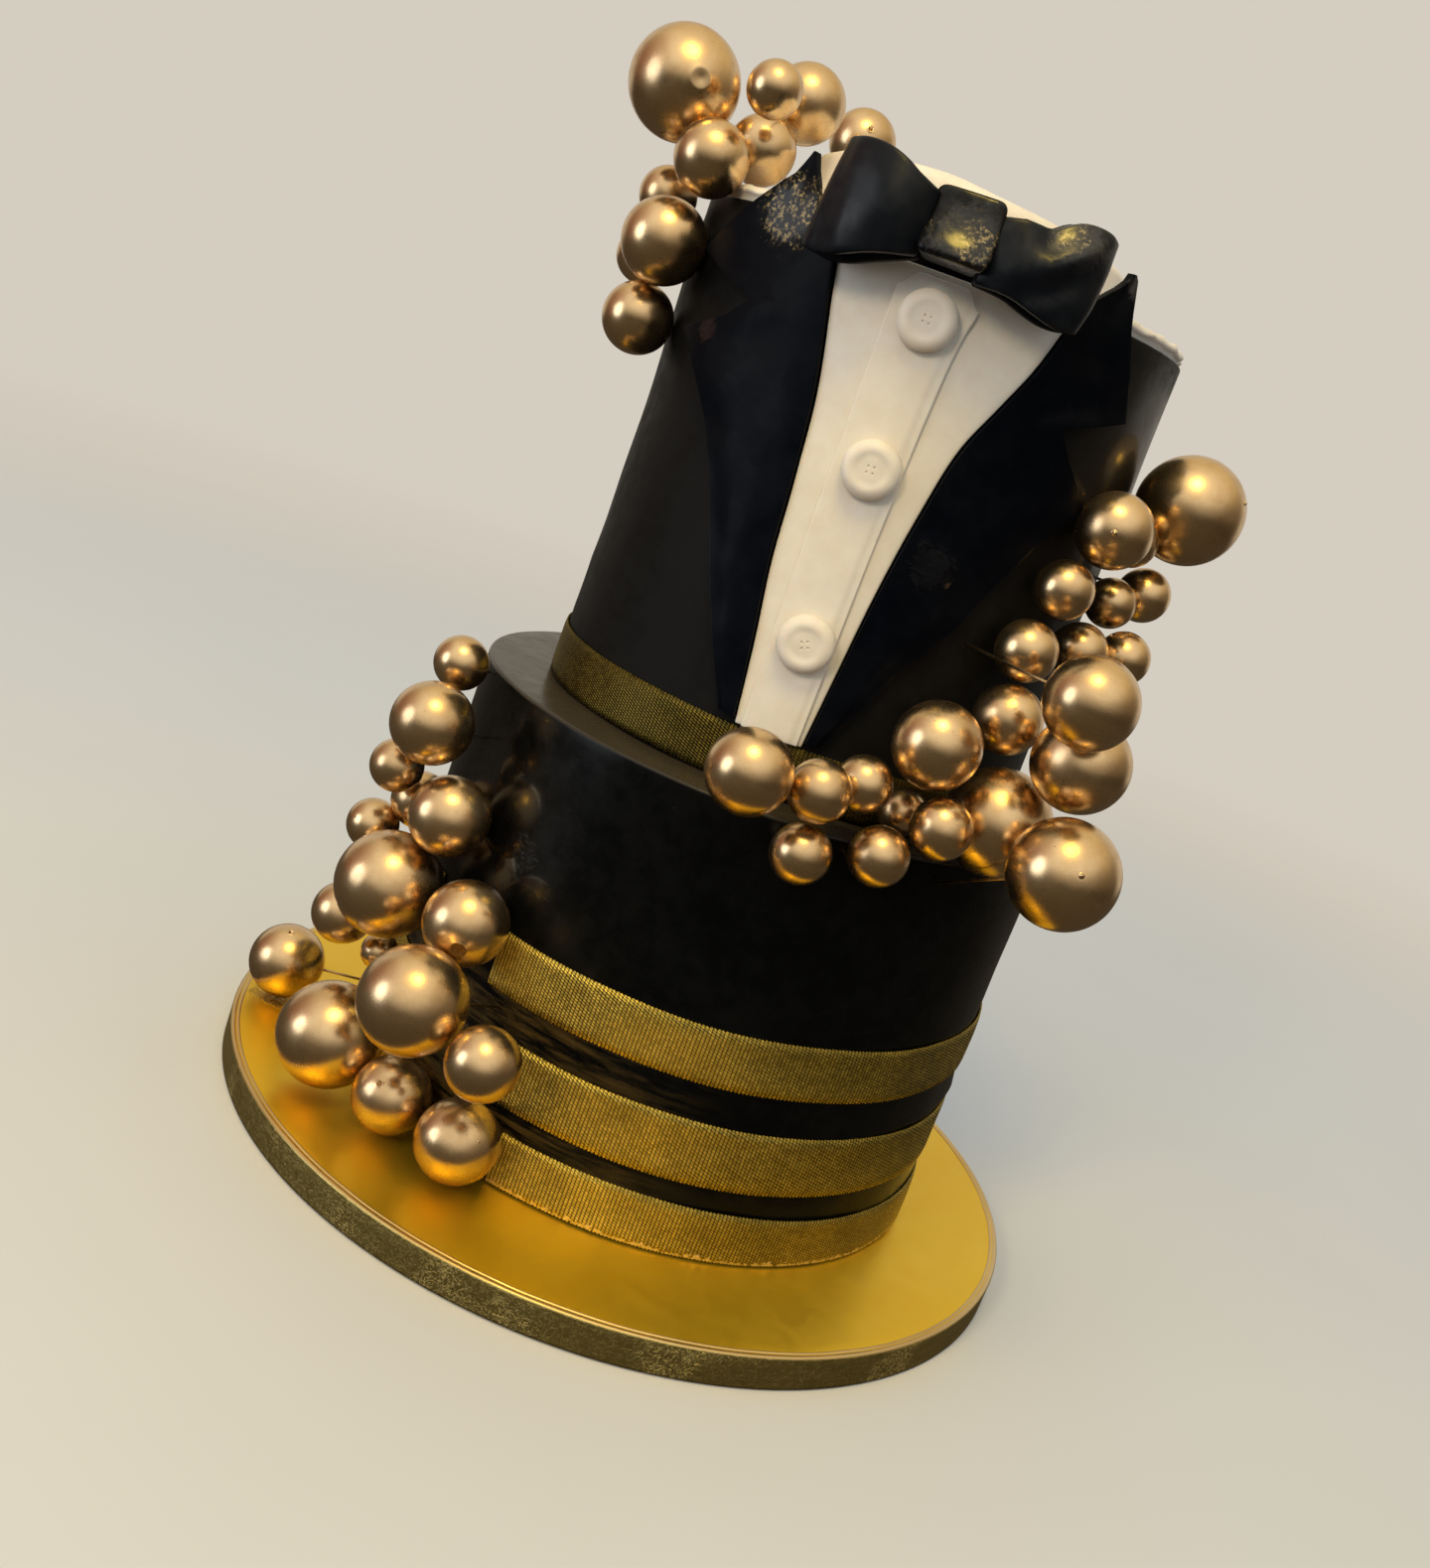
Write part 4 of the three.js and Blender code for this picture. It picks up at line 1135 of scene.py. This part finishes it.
def light_studio():
    """Soft surroundings: a pale glow in front above, a pale field behind, darker below, and three lamps.

    Matt things are lit by an even, slightly blue sky instead, and the camera sees a plain pale backdrop."""
    world = bpy.data.worlds.new("studio")
    scene.world = world
    world.use_nodes = True
    tree = world.node_tree
    tree.nodes.clear()
    way = wired(tree, "ShaderNodeTexCoord").outputs["Generated"]
    _, y, z = apart_of(tree, way)

    def toward(azimuth, rise, wide, narrow):
        """Rises from 0 at `wide` degrees off an azimuth and elevation to 1 at `narrow` degrees off."""
        a, e = math.radians(azimuth), math.radians(rise)
        aim = (math.sin(a) * math.cos(e), -math.cos(a) * math.cos(e), math.sin(e))
        near = wired(tree, "ShaderNodeVectorMath", {0: way, 1: aim}, operation="DOT_PRODUCT").outputs["Value"]
        return ramp_of(tree, near, math.cos(math.radians(wide)), math.cos(math.radians(narrow)))

    colour = mix_of(tree, ramp_of(tree, z, -0.12, 0.30), (0.050, 0.038, 0.026, 1), (0.19, 0.145, 0.10, 1))
    colour = mix_of(tree, ramp_of(tree, z, 0.25, 0.85), colour, (0.74, 0.60, 0.36, 1))
    glow = product_of(tree, toward(-17, 42, 80, 14), ramp_of(tree, z, -0.20, 0.58))
    colour = mix_of(tree, glow, colour, (0.98, 0.91, 0.78, 1))
    field_behind = product_of(tree, ramp_of(tree, y, 0.34, 0.66), ramp_of(tree, z, -0.25, -0.02),
                              ramp_of(tree, z, 0.75, 0.5))
    colour = mix_of(tree, field_behind, colour, (0.62, 0.56, 0.47, 1))
    red_left = product_of(tree, toward(-88, 18, 42, 8), 0.55)
    colour = mix_of(tree, red_left, colour, (0.36, 0.14, 0.08, 1))
    sky = mix_of(tree, ramp_of(tree, z, -0.10, 0.16), (0.12, 0.105, 0.085, 1), (0.62, 0.68, 0.73, 1))
    rays = wired(tree, "ShaderNodeLightPath").outputs
    colour = mix_of(tree, rays["Is Diffuse Ray"], colour, sky)
    lit = wired(tree, "ShaderNodeBackground", {"Color": colour, "Strength": 1.0})
    backdrop = wired(tree, "ShaderNodeBackground", {"Color": (0.66, 0.61, 0.53, 1), "Strength": 1.0})
    both = wired(tree, "ShaderNodeMixShader",
                 {0: rays["Is Camera Ray"], 1: lit.outputs[0], 2: backdrop.outputs[0]})
    wired(tree, "ShaderNodeOutputWorld", {0: both.outputs[0]})
    soft_light("ceiling lamp", (-0.10, -0.53, 1.139), (0.35, 0.35), 4.2, (1.0, 0.70, 0.12))
    soft_light("window", (-2.5, -1.31, 0.40), (1.4, 1.8), 16, (0.88, 0.94, 1.0))
    soft_light("front lamp", (-0.66, -1.32, 0.84), (0.34, 0.34), 7.0, (1.0, 0.80, 0.54), dull=True)


FLOOR_REACH = 3.0


def lay_floor():
    """A pale floor that fades into the backdrop with distance and hardly shows in reflections."""
    bm = bmesh.new()
    bmesh.ops.create_circle(bm, cap_ends=True, segments=96, radius=FLOOR_REACH)
    mesh = bpy.data.meshes.new("floor")
    bm.to_mesh(mesh)
    bm.free()
    material, tree, shader, place = new_finish("pale floor", Roughness=0.8)
    pale = mix_of(tree, noise_of(tree, place, 6, 3), (0.66, 0.655, 0.64, 1), (0.70, 0.695, 0.68, 1))
    seen = wired(tree, "ShaderNodeLightPath").outputs["Is Camera Ray"]
    tree.links.new(mix_of(tree, seen, (0.05, 0.04, 0.03, 1), pale), shader.inputs["Base Color"])
    away = wired(tree, "ShaderNodeVectorMath", {0: place}, operation="LENGTH").outputs["Value"]
    clear = wired(tree, "ShaderNodeBsdfTransparent")
    fade = wired(tree, "ShaderNodeMixShader",
                 {0: ramp_of(tree, away, 0.35, 1.7), 1: shader.outputs[0], 2: clear.outputs[0]})
    tree.links.new(fade.outputs[0], tree.nodes["Material Output"].inputs[0])
    mesh.materials.append(material)
    floor = bpy.data.objects.new("floor", mesh)
    scene.collection.objects.link(floor)


# ---------------------------------------------------------------- the cake

stand_camera()
light_studio()
lay_floor()
scene.view_settings.view_transform = "Standard"

# Patches are (middle, reach, raggedness, wetness, crumple), glint places (middle, reach), where gold flecks
# are painted highlights.
JACKET = black_icing(
    "black icing jacket", (0.0036, 0.0038, 0.0040), (0.0072, 0.0074, 0.0078), 0.52, shine=0.12, grain=0.025,
    pits=0.05, patches=[(UPPER.skin(62, 292), 42, 0.4, 0.4, 0)])
TIER_BLACK = black_icing(
    "black icing lower tier", (0.0014, 0.0018, 0.0021), (0.0030, 0.0036, 0.0040), 0.26, shine=0.15, swell=0.5,
    ripple=0.06, pits=0.12, wet=0.05, wet_roughness=0.1, smears_and_top_reflection=True,
    patches=[(LOWER.skin(-42, 128), 36, 0.6, 0.7, 0), (LOWER.skin(-36, 116), 8, 1.2, 1.0, 0.4)])
# Painted reflection: the lapels' faint blue tint in their base colour stands in for bluish window light
# reflected on black icing.
LAPEL_BLACK = black_icing(
    "black icing lapels", (0.0008, 0.0015, 0.0038), (0.0018, 0.0029, 0.0062), 0.42, shine=0.06, swell=0.5,
    ripple=0.06, wet=0.03, wet_roughness=0.15, shiny_edges=True,
    patches=[(UPPER.skin(-37, 330, 2.5), 11, 0.8, 0.45, 0.4),
             (UPPER.skin(-48, 290, 3.5), 5, 0.9, 1.0, 0.55),
             (UPPER.skin(16, 247, 3), 8, 1.6, 0.8, 0.25),
             (UPPER.skin(37, 343, 3), 4, 0.9, 1.0, 0.15)],
    glint_places=[(UPPER.skin(-37, 331, 3), 13)])
# Painted reflection: the bow's faint blue tint in its base colour stands in for bluish window light reflected
# on black icing.
BOW_BLACK = black_icing(
    "black icing bow", (0.0030, 0.0048, 0.0090), (0.0055, 0.0078, 0.0130), 0.36, shine=0.22, swell=0.4,
    wet=0.2, wet_roughness=0.2, patches=[(UPPER.point(16, 104, 345), 10, 0.9, 1.0, 0.2)],
    glint_places=[(UPPER.point(15, 105, 346), 6)])
KNOT_BLACK = black_icing(
    "black icing knot", (0.0022, 0.0028, 0.0040), (0.0045, 0.0052, 0.0070), 0.34, shine=0.15, swell=0.3,
    ripple=0.10, wet=0.35, wet_roughness=0.15, patches=[(UPPER.point(0.4, 108, 336), 15, 0.9, 1.0, 0.24)],
    glint_places=[(UPPER.point(1.5, 107, 335), 8), (UPPER.point(-7, 106, 337), 4)])
WHITE = white_icing()
PEARL = pearl_gold()
WIRE = wire_metal()
WOVEN = woven_gold("woven gold ribbon")
WOVEN_DARK = woven_gold("woven dark gold ribbon", tone=0.24)
WOVEN_HEM = woven_gold("woven gold ribbon with bright hem", hem=True)
FOIL = gold_foil("gold foil", (0.95, 0.66, 0.045), (0.88, 0.57, 0.022), 0.86)
RIM_FOIL = gold_foil("rim foil", (0.80, 0.62, 0.32), (0.66, 0.47, 0.20), 0.95)

lay_board(FOIL, RIM_FOIL, embossed_foil())
build_tier("lower_tier_icing", LOWER, 1.3, TIER_BLACK, 180, bulges=[(84, 67, 14, 9, 1.5)])
build_tier("upper_tier_icing", UPPER, 2, JACKET, 160, bulges=[(-76, 322, 34, 70, 2.6)], rim=1.0)
lay_slab(WHITE)
lay_mound(WHITE)
wind_ribbon("upper_ribbon", UPPER, 163.7, 17.6, -179, 179, 0, WOVEN_DARK)
for node, bottom, width, start, end, lift in LOWER_RIBBONS:
    finish = WOVEN if lift else WOVEN_HEM
    wind_ribbon(node, LOWER, bottom, width, start, end, lift, finish, buckle=0.9)
hang_shirt(WHITE)
for number in (1, 2, 3):
    sew_button(f"button_{number}", WHITE)
cut_lapel("left_lapel_and_collar", -1, LEFT_OUTER, LEFT_INNER, ["lapel_left", "collar_tip_left"], LAPEL_BLACK)
cut_lapel("right_lapel_and_collar", 1, RIGHT_OUTER, RIGHT_INNER, ["lapel_right", "collar_tip_right"],
          LAPEL_BLACK)
fold_loop("bow_left_loop", "bow_left", -1, BOW_BLACK, **LEFT_LOOP)
fold_loop("bow_right_loop", "bow_right", 1, BOW_BLACK, **RIGHT_LOOP)
wrap_knot(KNOT_BLACK)
for node in sorted(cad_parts):
    if "_ball_" in node:
        string_balls(node, PEARL, WIRE)
